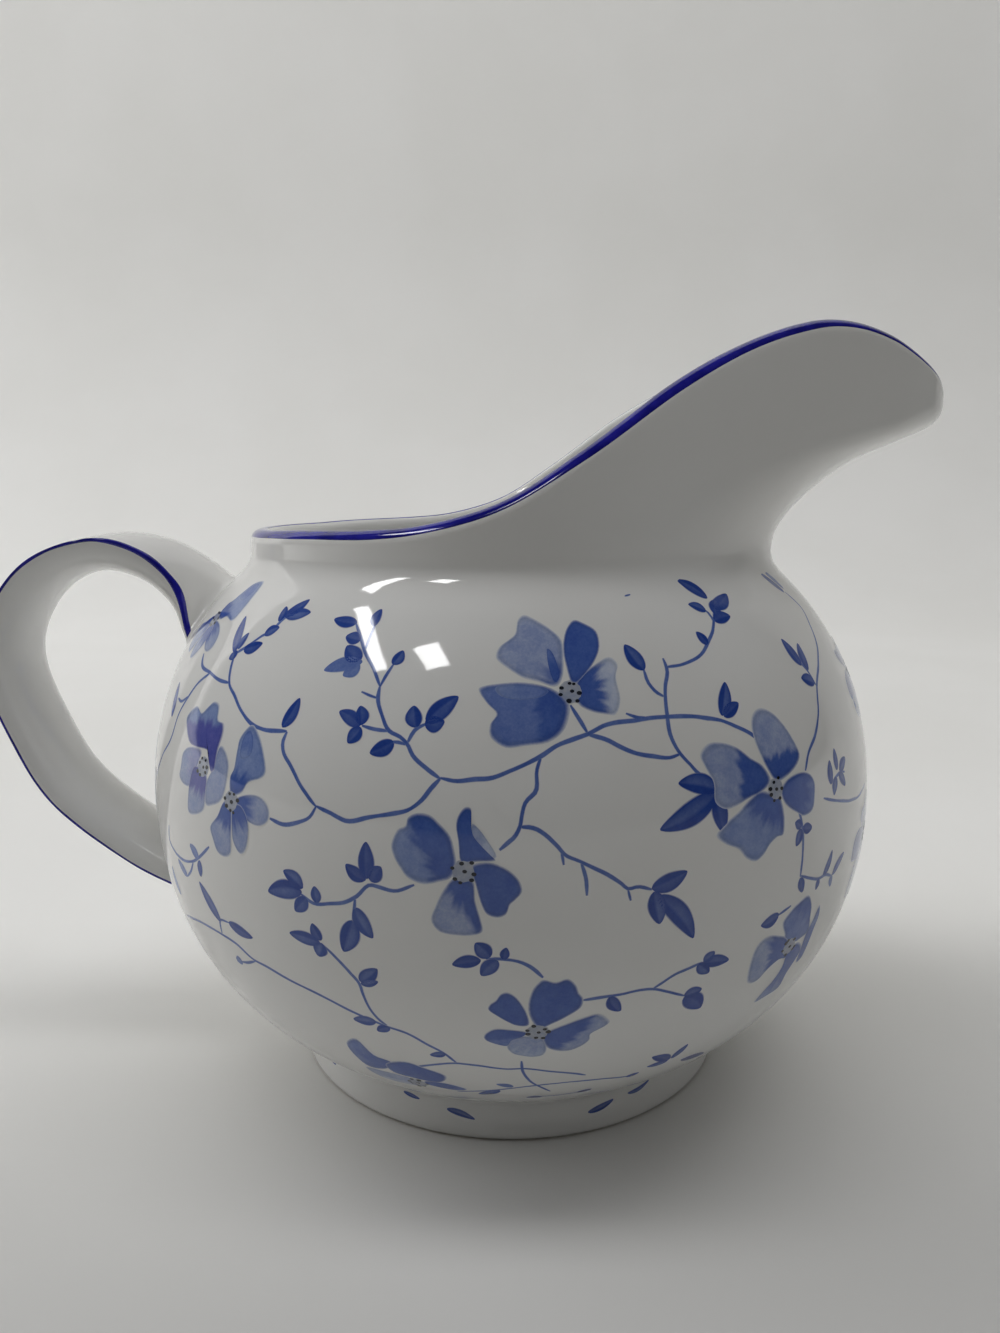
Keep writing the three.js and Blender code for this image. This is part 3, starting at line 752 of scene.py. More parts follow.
# Leaves: root and tip as (angle, height, angle, height), width, and the tone they are washed in.
LEAVES = [
    (-137.2, 54.7, -140.2, 58.1, 1.5, "deep"), (-136.8, 55.1, -136.2, 56.7, 1.1, "leaf"),
    (-135.2, 55.2, -131.3, 56, 1.5, "deep"), (-132, 56.8, -129.4, 57.6, 1.3, "leaf"),
    (-129.8, 58.6, -126.3, 60.3, 1.5, "deep"), (-129.6, 58.7, -124.4, 59.2, 1.6, "leaf"),
    (-130.2, 58.1, -130.7, 59.5, 1.1, "deep"), (-137.6, 54.8, -136.6, 54.1, 1.5, "deep"),
    (-151, 46.7, -153.2, 50.2, 1.6, "leaf"), (-146.4, 27.6, -148.2, 30.6, 1.4, "soft"),
    (-121.6, 49.1, -119.9, 51.8, 1.5, "deep"),
    (-105, 48.9, -108, 47.8, 1.6, "deep"), (-102.4, 50.2, -103, 52, 1.7, "deep"),
    (-101.1, 50.6, -97.3, 52.9, 1.9, "deep"), (-101.3, 50.5, -98.8, 50.8, 1.7, "deep"),
    (-109.7, 50.1, -110.3, 51.7, 1.5, "deep"), (-109.9, 50, -113.2, 51.1, 1.5, "leaf"),
    (-109.7, 49.9, -111.2, 48.5, 1.5, "deep"), (-106.9, 55.3, -105.8, 56.5, 1.2, "deep"),
    (-111.6, 55.4, -117.3, 54.4, 1.6, "mid"), (-111.8, 55.1, -114, 54.1, 1.5, "mid"),
    (-111.9, 55.5, -114.9, 56.6, 1.9, "leaf"), (-114.6, 58.6, -119, 58.8, 1.4, "deep"),
    (-112.9, 57.2, -115.6, 57.4, 1.5, "leaf"), (-111.6, 58.4, -111.3, 59.9, 1.1, "leaf"),
    (-107.6, 36.7, -107.7, 40.1, 1.7, "deep"), (-107.7, 36.6, -110.3, 37.8, 1.5, "deep"),
    (-107, 36.5, -105.8, 38, 1.7, "leaf"), (-116.6, 34.4, -122, 33.6, 2.1, "deep"),
    (-116.4, 34.8, -119.3, 36.1, 1.6, "deep"), (-115.9, 33.9, -117.8, 32.3, 1.6, "leaf"),
    (-114.4, 33.6, -114.7, 35.2, 1.2, "leaf"), (-109.5, 32.5, -111.2, 29.1, 2.2, "deep"),
    (-109.2, 33.8, -107.1, 31, 1.8, "leaf"), (-114.5, 29.5, -119.1, 29.8, 1.5, "leaf"),
    (-114.3, 29.8, -115.4, 31.4, 1.3, "deep"), (-114.2, 29.5, -115, 28, 1.7, "leaf"),
    (-109.5, 26.1, -106.9, 27.8, 1.6, "deep"), (-109.4, 25.8, -107, 26.4, 0.9, "leaf"),
    (-133, 28, -137.2, 31.5, 1.6, "leaf"), (-131, 28.4, -126.2, 27.8, 1.4, "deep"),
    (-130.3, 24, -131.8, 23.8, 1.1, "mid"), (-108.4, 21.4, -111.8, 21.1, 1.4, "leaf"),
    (-106.6, 20.9, -108.6, 20.1, 1.1, "deep"), (-136.6, 34.1, -139, 35.2, 1.2, "mid"),
    (-136.4, 34, -136.5, 32.2, 1.1, "leaf"), (-141, 31.2, -144.1, 32.4, 1.1, "mid"),
    (-99.4, 18.1, -101.7, 17.6, 1.0, "leaf"), (-94, 29.7, -97.4, 29.1, 1.4, "deep"),
    (-92.9, 30, -94.6, 31.4, 1.7, "deep"), (-92, 29.7, -94, 28.1, 1.6, "leaf"),
    (-91.3, 29.8, -91, 31, 0.9, "deep"), (-92.2, 11.6, -95.9, 10.3, 1.4, "leaf"),
    (-90, 12.5, -92.6, 13.1, 1.0, "mid"), (-73.8, 35.9, -69.2, 37.1, 1.9, "deep"),
    (-73.5, 35.6, -72.6, 32.4, 2.0, "deep"), (-73, 35.2, -67.8, 30.4, 2.2, "deep"),
    (-72.1, 54.8, -74.1, 57, 1.7, "deep"), (-60.4, 56.5, -61.5, 57.7, 1.1, "deep"),
    (-57.6, 59.4, -60.4, 60.1, 1.2, "deep"), (-55.6, 60.5, -60, 62.3, 1.6, "deep"),
    (-55.9, 59.6, -50.4, 60.7, 1.7, "deep"), (-57, 58.5, -53, 58.8, 1.6, "deep"),
    (-56, 59, -54.2, 60.3, 1.5, "leaf"), (-61.9, 50.4, -59.8, 53.2, 1.6, "deep"),
    (-61.6, 50.3, -58.6, 51.3, 1.4, "deep"), (-30, 60, -34, 62.2, 1.2, "leaf"),
    (-28.6, 60.3, -31.6, 62.4, 1.1, "mid"), (-41.6, 53.4, -43.6, 56.1, 1.6, "deep"),
    (-40.4, 52.8, -39.4, 55.4, 1.5, "leaf"), (-39.9, 51.6, -43.3, 52.3, 1.5, "leaf"),
    (-42.3, 41.7, -42, 44.1, 1.3, "deep"), (-40, 42.8, -40, 45, 1.1, "deep"),
    (-39.2, 42.6, -36.6, 43.6, 1.3, "deep"), (-39.6, 42.4, -37.6, 40.8, 1.2, "leaf"),
    (-40.5, 42.2, -41.7, 40.5, 1.3, "leaf"), (-64.4, 44.1, -69.9, 45.1, 2.1, "deep"),
    (-64.6, 43.9, -72.7, 41.2, 2.5, "deep"), (-64.7, 43.8, -64, 40.1, 1.9, "deep"),
    (-50.4, 38.6, -51.4, 37, 1.2, "deep"), (-50, 38.6, -47.9, 38.3, 1.2, "deep"),
    (-50.3, 38.8, -51.6, 39.4, 1.1, "leaf"), (-44.2, 32.4, -42, 34.8, 1.1, "leaf"),
    (-41.2, 31.9, -37.6, 33.6, 1.1, "leaf"), (-45.4, 32.5, -45.8, 31.3, 0.8, "leaf"),
    (-41.6, 32, -41.3, 30.6, 0.9, "mid"), (-50.1, 33.5, -49.2, 31.8, 1.2, "leaf"),
    (-53.8, 30.4, -57, 29.8, 1.5, "deep"), (-78.2, 25.3, -76.5, 23.4, 1.4, "deep"),
    (-67.7, 24, -65.1, 24.3, 1.5, "deep"), (-67.6, 23.8, -64.3, 21.8, 2.3, "deep"),
    (-66.6, 27.4, -64.6, 26.1, 1.4, "deep"), (-65.9, 27.5, -61.7, 27, 1.5, "deep"),
    (-65.8, 27.6, -64.3, 28.4, 1.2, "leaf"), (-65, 14, -68.9, 15.6, 1.6, "deep"),
    (-65, 13.9, -68.6, 13.7, 1.2, "leaf"), (-64.6, 14.2, -63.2, 16.3, 1.1, "leaf"),
    (-61.5, 13, -55.5, 12.2, 1.5, "deep"), (-71.4, 12.3, -69.4, 12.8, 0.9, "leaf"),
    (-84.8, 9.5, -87.6, 9.4, 1.0, "leaf"), (-78.8, 9.9, -76.4, 10.5, 0.9, "leaf"),
    (-105.7, 3.1, -98.8, 2.4, 0.65, "deep"), (-71.5, 2.5, -64.5, 3.2, 0.65, "deep"),
    (-60.2, 3.3, -53.0, 3.8, 0.4, "leaf"), (-146, 3.4, -142, 2.8, 0.5, "deep"),
    (-117.5, 3.8, -113, 3.5, 0.4, "leaf"),
]

# Flowers: each petal is a wash as (dark tone, pale tone, direction in degrees that turns pale, how far
# out that way it turns, over what distance, outline), the outline in millimetres right and up. A
# last True marks a stroke laid over another petal, whose edge doesn't fade to white.
FLOWERS = {
    "rose": [
        ("blue", "pale", 130, 2.3, 2.6, [
            (-1.6, 0.8), (-3.0, 1.3), (-4.2, 1.7), (-5.5, 2.7), (-6.3, 3.6), (-6.0, 4.6), (-5.1, 5.3),
            (-4.5, 5.9), (-4.2, 7.2), (-3.6, 7.7), (-2.7, 7.2), (-1.5, 6.2), (-0.6, 5.0), (-0.6, 3.2),
            (-0.9, 1.5)]),
        ("blue", "mid", 110, 4.0, 2.0, [
            (-1.4, 1.0), (-1.8, 2.4), (-1.8, 4.1), (-1.3, 3.6), (-0.9, 1.7)], True),
        ("blue", "faint", 0, 3.0, 1.3, [
            (0.6, 0.3), (1.0, 1.2), (2.5, 2.4), (3.8, 3.1), (4.5, 2.4), (4.2, 1.2), (4.4, -0.7),
            (3.9, -2.0), (3.0, -2.0), (1.7, -1.7), (0.7, -1.0)]),
        ("blue", "blue", 0, 2.4, 1.0, [
            (0.3, 0.9), (-0.1, 2.5), (-0.2, 4.2), (0.2, 5.9), (1.0, 7.0), (1.9, 6.7), (2.9, 5.9),
            (3.0, 4.4), (2.4, 3.0), (1.3, 1.6)]),
        ("blue", "mid", 180, 3.3, 1.0, [
            (-0.7, -1.0), (-2.0, 0.2), (-4.2, 0.8), (-6.5, 0.8), (-7.9, 0.6), (-8.0, 0.1), (-7.4, -0.9),
            (-6.7, -1.8), (-7.3, -2.7), (-7.3, -3.8), (-6.1, -4.7), (-4.5, -4.6), (-2.6, -4.4),
            (-1.3, -3.5), (-0.7, -2.2)]),
        ("mid", "soft", 180, 4.0, 2.5, [
            (-2.2, 0.2), (-4.2, 0.7), (-6.6, 0.7), (-6.2, -0.2), (-4.4, -0.6), (-2.8, -0.4)], True),
    ],
    "violet": [
        ("blue", "soft", 205, 2.9, 1.0, [
            (-0.9, 0.6), (-1.0, 1.6), (-1.4, 3.0), (-2.4, 4.1), (-3.2, 4.7), (-4.2, 4.8), (-5.0, 4.4),
            (-5.2, 3.7), (-5.9, 3.3), (-6.4, 2.1), (-6.2, 1.1), (-5.6, 0.1), (-4.9, -0.7), (-3.6, -1.1),
            (-2.3, -0.8), (-1.3, -0.4)]),
        ("pale", "faint", 0, 1.5, 2.0, [
            (0.7, 1.6), (0.7, 4.0), (1.2, 3.9), (2.0, 2.9), (2.8, 1.5), (1.8, 1.2)]),
        ("blue", "blue", 90, 3.0, 2.0, [
            (-0.2, 1.0), (-0.4, 2.7), (-0.6, 4.0), (-0.4, 4.9), (0.1, 5.5), (0.6, 5.4), (0.6, 4.5),
            (0.8, 3.3), (1.5, 2.4), (2.3, 1.6), (2.6, 1.2), (1.4, 1.1), (0.5, 1.0)]),
        ("blue", "pale", 215, 2.3, 0.9, [
            (-0.7, -0.8), (-1.7, -1.9), (-2.4, -3.4), (-2.8, -4.6), (-2.3, -5.5), (-1.6, -5.8),
            (-0.3, -5.9), (0.8, -5.8), (1.5, -5.4), (1.3, -4.2), (0.9, -2.7), (0.7, -1.0)]),
        ("blue", "blue", 0, 3.0, 2.0, [
            (1.0, 0.5), (2.3, 0.7), (3.7, 0.2), (4.7, -0.7), (5.0, -1.7), (4.5, -2.4), (4.0, -2.9),
            (3.7, -3.7), (3.0, -4.0), (2.1, -3.7), (1.6, -2.7), (1.2, -1.2), (0.9, -0.1)]),
    ],
    "bramble": [
        ("blue", "pale", 90, 3.2, 0.7, [
            (0.2, 1.0), (-0.6, 2.1), (-1.2, 3.5), (-1.6, 5.0), (-1.5, 6.4), (-0.9, 7.3), (0.2, 7.6),
            (1.5, 7.0), (2.6, 5.8), (3.5, 4.3), (4.1, 2.8), (3.2, 1.8), (1.5, 1.1)]),
        ("blue", "pale", 180, 4.5, 0.8, [
            (-0.9, 1.0), (-1.6, 2.4), (-2.9, 3.3), (-4.2, 4.4), (-5.8, 5.1), (-7.3, 5.2), (-8.3, 4.4),
            (-8.0, 3.3), (-7.4, 1.8), (-7.5, 0.2), (-6.5, -0.6), (-5.2, -0.5), (-3.8, -0.1),
            (-2.2, 0.2)]),
        ("blue", "soft", -125, 3.2, 1.8, [
            (-1.0, -0.4), (-2.2, -0.1), (-3.5, -0.6), (-4.8, -1.4), (-6.3, -2.2), (-7.4, -3.1),
            (-6.5, -4.0), (-5.1, -4.7), (-4.2, -5.7), (-3.1, -6.2), (-2.1, -5.8), (-1.3, -5.0),
            (-0.3, -4.5), (0.5, -4.4), (0.7, -3.0), (0.5, -1.6), (0.1, -0.8)]),
        ("blue", "mid", -35, 5.0, 1.4, [
            (1.0, -0.2), (2.0, 0.5), (3.7, 0.8), (5.3, 0.5), (6.1, -0.4), (6.0, -1.6), (5.5, -2.9),
            (4.1, -3.2), (3.0, -2.7), (1.7, -1.9), (1.0, -1.0)]),
    ],
    "poppy": [
        ("blue", "blue", 90, 3.0, 2.0, [
            (0.2, 0.8), (-0.6, 2.2), (-0.8, 3.7), (-0.5, 5.2), (0.0, 6.0), (0.5, 6.3), (1.5, 6.0),
            (2.5, 6.3), (3.2, 5.6), (3.5, 4.7), (3.9, 4.0), (3.7, 3.0), (2.6, 2.1), (1.3, 1.3)]),
        ("blue", "blue", 90, 3.0, 2.0, [
            (-1.0, 1.2), (-1.3, 2.8), (-2.1, 4.3), (-2.9, 4.9), (-3.5, 4.7), (-3.9, 4.0), (-4.4, 3.5),
            (-4.5, 2.9), (-3.7, 2.2), (-2.9, 1.6), (-2.0, 1.1)]),
        ("pale", "faint", -90, 2.6, 2.0, [
            (-2.2, -0.7), (-2.7, -2.0), (-2.2, -3.1), (-1.3, -3.5), (-0.3, -3.7), (0.6, -3.4),
            (0.8, -2.2), (0.3, -0.9)]),
        ("blue", "mid", -90, 0.9, 1.0, [
            (-1.2, 0.0), (-2.7, 0.3), (-4.0, 0.3), (-4.8, -0.5), (-4.7, -1.2), (-3.8, -1.7),
            (-2.8, -1.9), (-2.4, -1.1), (-1.5, -0.6)]),
        ("blue", "pale", -40, 3.3, 0.8, [
            (0.7, -0.5), (1.4, 0.2), (2.6, 0.8), (4.1, 1.4), (5.5, 1.7), (6.5, 0.8), (6.4, 0.2),
            (5.0, -0.7), (4.9, -1.6), (4.2, -2.4), (3.1, -2.9), (1.9, -2.7), (1.0, -1.9)]),
    ],
    "clover": [
        ("pale", "pale", 0, 3.0, 2.0, [
            (2.4, 2.3), (3.4, 2.1), (4.3, 0.9), (4.3, -1.1), (3.8, -2.4), (2.6, -3.1), (1.3, -3.3),
            (1.1, -1.4), (2.0, 0.4)]),
        ("lilac", "pale", 200, 3.0, 2.4, [
            (-1.1, 1.4), (-3.5, 1.3), (-4.9, 0.5), (-5.0, -0.9), (-5.1, -1.9), (-4.0, -2.4),
            (-2.4, -2.3), (-1.8, -1.2), (-1.2, 0.1)]),
        ("plum", "pale", -100, 2.9, 1.6, [
            (-1.6, -0.3), (-2.3, -1.6), (-2.5, -3.3), (-2.4, -4.9), (-1.2, -5.0), (0.7, -4.1),
            (0.9, -2.3), (0.7, -0.8)]),
        ("plum", "soft", 97, 4.5, 1.0, [
            (0.2, 1.9), (-2.3, 1.8), (-3.9, 2.1), (-5.4, 3.6), (-5.5, 4.4), (-4.0, 5.5), (-2.6, 5.0),
            (-1.7, 5.7), (-0.8, 6.4), (0.3, 6.2), (0.8, 4.9), (1.9, 4.7), (2.2, 3.7), (2.0, 2.4),
            (2.0, 1.2), (2.0, 0.3), (1.4, 0.1), (0.8, 1.1)]),
    ],
    "pansy": [
        ("blue", "soft", 70, 3.0, 1.4, [
            (0.0, 0.9), (-0.4, 2.3), (0.0, 3.3), (0.0, 4.9), (0.1, 6.2), (1.2, 7.5), (2.2, 7.0),
            (3.2, 5.8), (4.1, 4.0), (3.8, 3.1), (2.2, 2.4), (1.4, 1.3)]),
        ("mid", "soft", -90, -4.9, 1.2, [
            (0.5, 4.6), (0.5, 6.3), (1.2, 7.1), (1.9, 6.3), (2.0, 5.0), (1.2, 4.4)], True),
        ("blue", "pale", 0, 2.8, 1.6, [
            (1.0, 0.4), (2.8, 1.1), (4.3, 1.0), (5.2, 0.2), (5.1, -0.9), (4.0, -1.5), (2.6, -1.3),
            (1.4, -0.5)]),
        ("blue", "pale", -110, 2.7, 1.4, [
            (-1.1, -0.4), (-2.0, -1.9), (-3.2, -3.2), (-2.8, -4.3), (-2.1, -5.4), (-0.9, -5.6),
            (0.0, -5.0), (0.1, -3.1), (0.0, -0.8)]),
        ("blue", "pale", -75, 2.6, 1.4, [
            (0.4, -0.6), (0.4, -2.5), (0.6, -3.8), (1.5, -4.7), (2.3, -4.2), (2.7, -2.6), (2.4, -1.1),
            (1.4, -0.2)]),
    ],
    "iris": [
        ("mid", "blue", 50, 3.2, 1.6, [
            (-0.9, 0.9), (-1.3, 2.0), (-2.0, 3.4), (-1.0, 4.4), (0.1, 4.9), (1.6, 5.2), (2.5, 4.0),
            (2.8, 2.5), (3.1, 0.9), (2.0, 0.5), (0.8, 0.4)]),
        ("blue", "pale", 195, 3.1, 1.0, [
            (-0.8, 1.0), (-2.5, 1.9), (-4.2, 2.3), (-5.4, 1.6), (-5.7, -0.2), (-5.2, -2.5),
            (-3.8, -2.8), (-2.6, -1.7), (-1.3, -1.1), (0.1, -1.2)]),
        ("blue", "soft", -110, 5.0, 2.6, [
            (0.1, -0.9), (0.1, -2.6), (-0.5, -4.1), (-1.5, -5.3), (-2.0, -6.5), (-0.3, -6.4),
            (1.6, -6.0), (1.7, -4.1), (2.5, -2.4), (2.8, -1.4), (1.5, -0.3)]),
        ("blue", "mid", 90, 1.0, 2.0, [
            (3.0, 0.5), (3.6, 1.5), (4.5, 3.1), (4.9, 2.0), (4.5, 0.5), (4.3, -1.0), (4.0, -2.8),
            (3.1, -3.0), (2.9, -1.4)]),
    ],
    "cosmos": [
        ("pale", "faint", -90, 0.5, 2.0, [
            (-5.2, 1.4), (-2.7, 1.6), (-0.3, 1.1), (0.4, -0.8), (-1.6, -1.2), (-4.1, -0.7)]),
        ("blue", "mid", 150, 6.6, 2.0, [
            (-1.7, 4.7), (-3.4, 5.5), (-4.7, 7.9), (-6.1, 6.5), (-5.7, 4.0), (-4.7, 2.2), (-2.8, 2.8)]),
        ("blue", "blue", 0, 2.0, 2.0, [
            (-2.2, 4.1), (0.0, 5.3), (1.7, 4.6), (3.5, 3.3), (2.9, 1.6), (1.6, 1.3), (-0.2, 1.7),
            (-1.9, 2.3)]),
        ("blue", "mid", 0, 4.0, 1.6, [
            (1.4, 1.1), (3.4, 1.0), (5.0, -0.3), (3.9, -0.9), (2.1, -0.4), (1.1, 0.3)]),
    ],
}
# Each blossom: where its heart is, which flower it shows and how far that flower is turned.
BLOSSOMS = [
    ((-82.7, 53.3), "rose", 0), ((-95.9, 38.1), "violet", 0), ((-55, 43.1), "bramble", 0),
    ((-87, 21.5), "poppy", 0), ((-136, 43.7), "clover", 0), ((-128.8, 41.4), "pansy", 0),
    ((-49.7, 25.8), "iris", 0), ((-106, 11.6), "cosmos", 0), ((-152, 57), "pansy", -30),
    ((-17, 50.5), "violet", 60), ((-24, 33), "rose", 110), ((-166, 36), "poppy", 20),
]
# Where the handle's roots stand, nothing is printed: half angle, then lowest and highest height.
HANDLE_ROOTS = [(17, 47.5, 64), (14, 15, 32)]

# Each patch of the print stands for the CAD transfer whose side of the jug it covers.
PATCHES = [
    ("front_left", -180, -124.5), ("front_centre", -124.5, -68), ("front_right", -68, 0),
    ("back_left", 0, 55.5), ("back_centre", 55.5, 112), ("back_right", 112, 180),
]

# The glaze's outline that the print lies on, from near the foot's lower edge up to the neck.
FOOT_WALL_START = 14
OUTLINE_TOP_Z = 64
OUTLINE_SAMPLES = 500
foot_r, foot_z = np.array(BASE_SECTION[FOOT_WALL_START:]).T
wall_z = np.linspace(GLOBE_START_Z, OUTLINE_TOP_Z, OUTLINE_SAMPLES)
OUTLINE_Z = np.concatenate([foot_z, wall_z])
OUTLINE_R = np.concatenate([foot_r, round_radius(wall_z)])
OUTLINE_RISE = np.arctan2(OUTLINE_Z - GLOBE_MID_Z, OUTLINE_R)
outline_way = unit(np.stack([np.gradient(OUTLINE_R), np.gradient(OUTLINE_Z)], axis=-1))
OUTLINE_NORMAL = np.stack([outline_way[:, 1], -outline_way[:, 0]], axis=-1)

# How the strokes are laid, in millimetres unless they are shares.
SLAB_DEPTH = 0.04
EDGE_LIFT_SHARE = 0.15
STEM_WIDTH = 0.42
STEM_STEP = 0.4
STEM_FEATHER = 0.07
LEAF_WIDTH = 0.9
PETAL_RINGS = np.concatenate([np.linspace(0.08, 0.86, 11), (0.90, 0.935, 0.965, 1.0)])
PETAL_SPREAD = 1.09
PETAL_CURVE_STEPS = 4
PETAL_LAYER_LIFT = 0.003
HEART_RADIUS = 1.1
STAMEN_COUNT = 7
LIFTS = {"stem": 0.020, "leaf": 0.030, "petal": 0.036, "heart": 0.052, "stamen": 0.062}
# How far each stroke's edge goes towards white.
EDGE_FADE = {"stem": 0.85, "leaf": 0.80, "petal": 0.85}
print_random = np.random.default_rng(7)


def glaze_frame(points):
    """The points moved straight onto the glaze, as seen from the globe's middle, and its normals."""
    flat = np.hypot(points[..., 0], points[..., 1])
    azimuth = np.arctan2(points[..., 1], points[..., 0])
    rise = np.arctan2(points[..., 2] - GLOBE_MID_Z, flat)
    r, z = (np.interp(rise, OUTLINE_RISE, column) for column in (OUTLINE_R, OUTLINE_Z))
    out, up = (np.interp(rise, OUTLINE_RISE, OUTLINE_NORMAL[:, k]) for k in (0, 1))
    return polar(r, azimuth, z), unit(polar(out, azimuth, up))


def glaze_point(degrees, z):
    """A point on the glaze at an angle and height, with the ways right and up the glaze there."""
    angle = math.radians(degrees)
    point, normal = glaze_frame(polar(np.interp(z, OUTLINE_Z, OUTLINE_R), angle, z))
    right = np.array((-math.sin(angle), math.cos(angle), 0.0))
    return point, right, np.cross(normal, right)


class Patch:
    """The thin slabs of one part of the print, gathered into one mesh."""

    def __init__(self):
        self.points, self.faces, self.normals, self.tones = [], [], [], []
        self.count = 0

    def add_slab(self, grid, tone, lift):
        """A closed slab under a grid of points near the glaze, feathered down at its edges."""
        rows, columns = grid.shape[:2]
        surface, normal = glaze_frame(grid)
        edge = np.ones((rows, columns, 1))
        edge[[0, -1]] = EDGE_LIFT_SHARE
        edge[:, [0, -1]] = EDGE_LIFT_SHARE
        top = surface + lift * edge * normal
        bottom = surface - SLAB_DEPTH * normal
        drop = rows * columns
        at = self.count + np.arange(drop).reshape(rows, columns)
        quads = np.stack([at[:-1, :-1], at[:-1, 1:], at[1:, 1:], at[1:, :-1]], axis=-1).reshape(-1, 4)
        under = quads[:, [0, 3, 2, 1]] + drop
        border = np.concatenate([at[0, :-1], at[:-1, -1], at[-1, :0:-1], at[:0:-1, 0]])
        following = np.roll(border, -1)
        walls = np.stack([following, border, border + drop, following + drop], axis=-1)
        self.faces += quads.tolist() + under.tolist() + walls.tolist()
        for sheet in (top, bottom):
            self.points.append(sheet.reshape(-1, 3))
            self.normals.append(normal.reshape(-1, 3))
            self.tones.append(np.broadcast_to(tone, grid.shape).reshape(-1, 3))
        self.count += 2 * drop

    def add_dab(self, rings, tone, lift):
        """A closed slab under rings of points, from the innermost out to the outline."""
        count, sides = rings.shape[:2]
        flat = np.concatenate([rings[:1].mean(axis=1), rings.reshape(-1, 3)])
        tones = np.concatenate([tone[:1].mean(axis=1), tone.reshape(-1, 3)])
        surface, normal = glaze_frame(flat)
        height = np.full((len(flat), 1), lift)
        height[-sides:] *= EDGE_LIFT_SHARE
        under = np.concatenate([[0], np.arange(len(flat) - sides, len(flat))])
        self.points += [surface + height * normal, surface[under] - SLAB_DEPTH * normal[under]]
        self.normals += [normal, normal[under]]
        self.tones += [tones, tones[under]]
        at = self.count + 1 + np.arange(count * sides).reshape(count, sides)
        following = np.roll(at, -1, axis=1)
        quads = np.stack([at[:-1], at[1:], following[1:], following[:-1]], axis=-1).reshape(-1, 4)
        low = self.count + len(flat)
        below = low + 1 + np.arange(sides)
        walls = np.stack([at[-1], below, np.roll(below, -1), following[-1]], axis=-1)
        cap = np.stack([np.full(sides, self.count), at[0], following[0]], axis=-1)
        base = np.stack([np.full(sides, low), np.roll(below, -1), below], axis=-1)
        self.faces += quads.tolist() + walls.tolist() + cap.tolist() + base.tolist()
        self.count = low + 1 + sides

    def make(self, name, replaced):
        """The patch's object, shaded with the glaze's own normals."""
        points = np.concatenate(self.points)
        piece = make_piece(name, points, self.faces, [replaced], [PRINT])
        add_tone(piece, np.concatenate(self.tones))
        piece.data.normals_split_custom_set_from_vertices(np.concatenate(self.normals).tolist())


def blend_tones(first, second, share):
    """Colours between two named tones, by each point's share of the second."""
    start, end = np.array(TONES[first]), np.array(TONES[second])
    return start + (end - start) * share[..., None]


def fade_sides(tone, fade):
    """Takes the two side edges of a stroke's colours some way towards white."""
    tone[:, [0, -1]] += fade * (WHITE - tone[:, [0, -1]])


def smooth_path(points, step):
    """Even points along a smooth curve through (angle, height) points, step millimetres apart."""
    points = np.array(points, float)
    flat = points * (math.radians(GLOBE_RADIUS), 1)
    run = np.concatenate([[0], np.cumsum(np.linalg.norm(np.diff(flat, axis=0), axis=1))])
    count = max(4, int(run[-1] / step) + 1)
    places = np.linspace(0, run[-1], count)
    slopes = np.gradient(points, run, axis=0)
    i = np.clip(np.searchsorted(run, places, side="right") - 1, 0, len(run) - 2)
    span = (run[i + 1] - run[i])[:, None]
    t = (places[:, None] - run[i][:, None]) / span
    return cubic(t, points[i], points[i + 1], slopes[i] * span, slopes[i + 1] * span)


def draw_stem(patch, width, path):
    """A brushed line: a little uneven, and darker where the brush rested."""
    path = smooth_path(path, STEM_STEP)
    z = path[:, 1]
    radius = np.interp(z, OUTLINE_Z, OUTLINE_R)
    surface, normal = glaze_frame(polar(radius, np.radians(path[:, 0]), z))
    side = unit(np.cross(normal, np.gradient(surface, axis=0)))
    place = np.arange(len(path))
    knots = np.arange(0, len(path) + 4, 4)
    wave = np.interp(place, knots, print_random.uniform(-1, 1, len(knots)))
    sway = np.interp(place, knots, print_random.uniform(-0.05, 0.05, len(knots)))
    taper = np.clip(np.minimum(place + 1.6, len(path) - place + 0.6) / 3.2, 0.35, 1)
    half = 0.5 * STEM_WIDTH * width ** 0.4 * (1 + 0.18 * wave) * taper + STEM_FEATHER / 2
    core = 1 - STEM_FEATHER / half
    across = np.stack([-np.ones_like(half), -core, 0 * half, core, np.ones_like(half)], axis=-1)
    grid = surface[:, None] + side[:, None] * (half[:, None] * across + sway[:, None])[..., None]
    share = np.clip(0.45 + 0.4 * wave, 0, 1)[:, None] + 0 * across
    tone = blend_tones("blue", "mid", share)
    fade_sides(tone, EDGE_FADE["stem"])
    patch.add_slab(grid, tone, LIFTS["stem"])


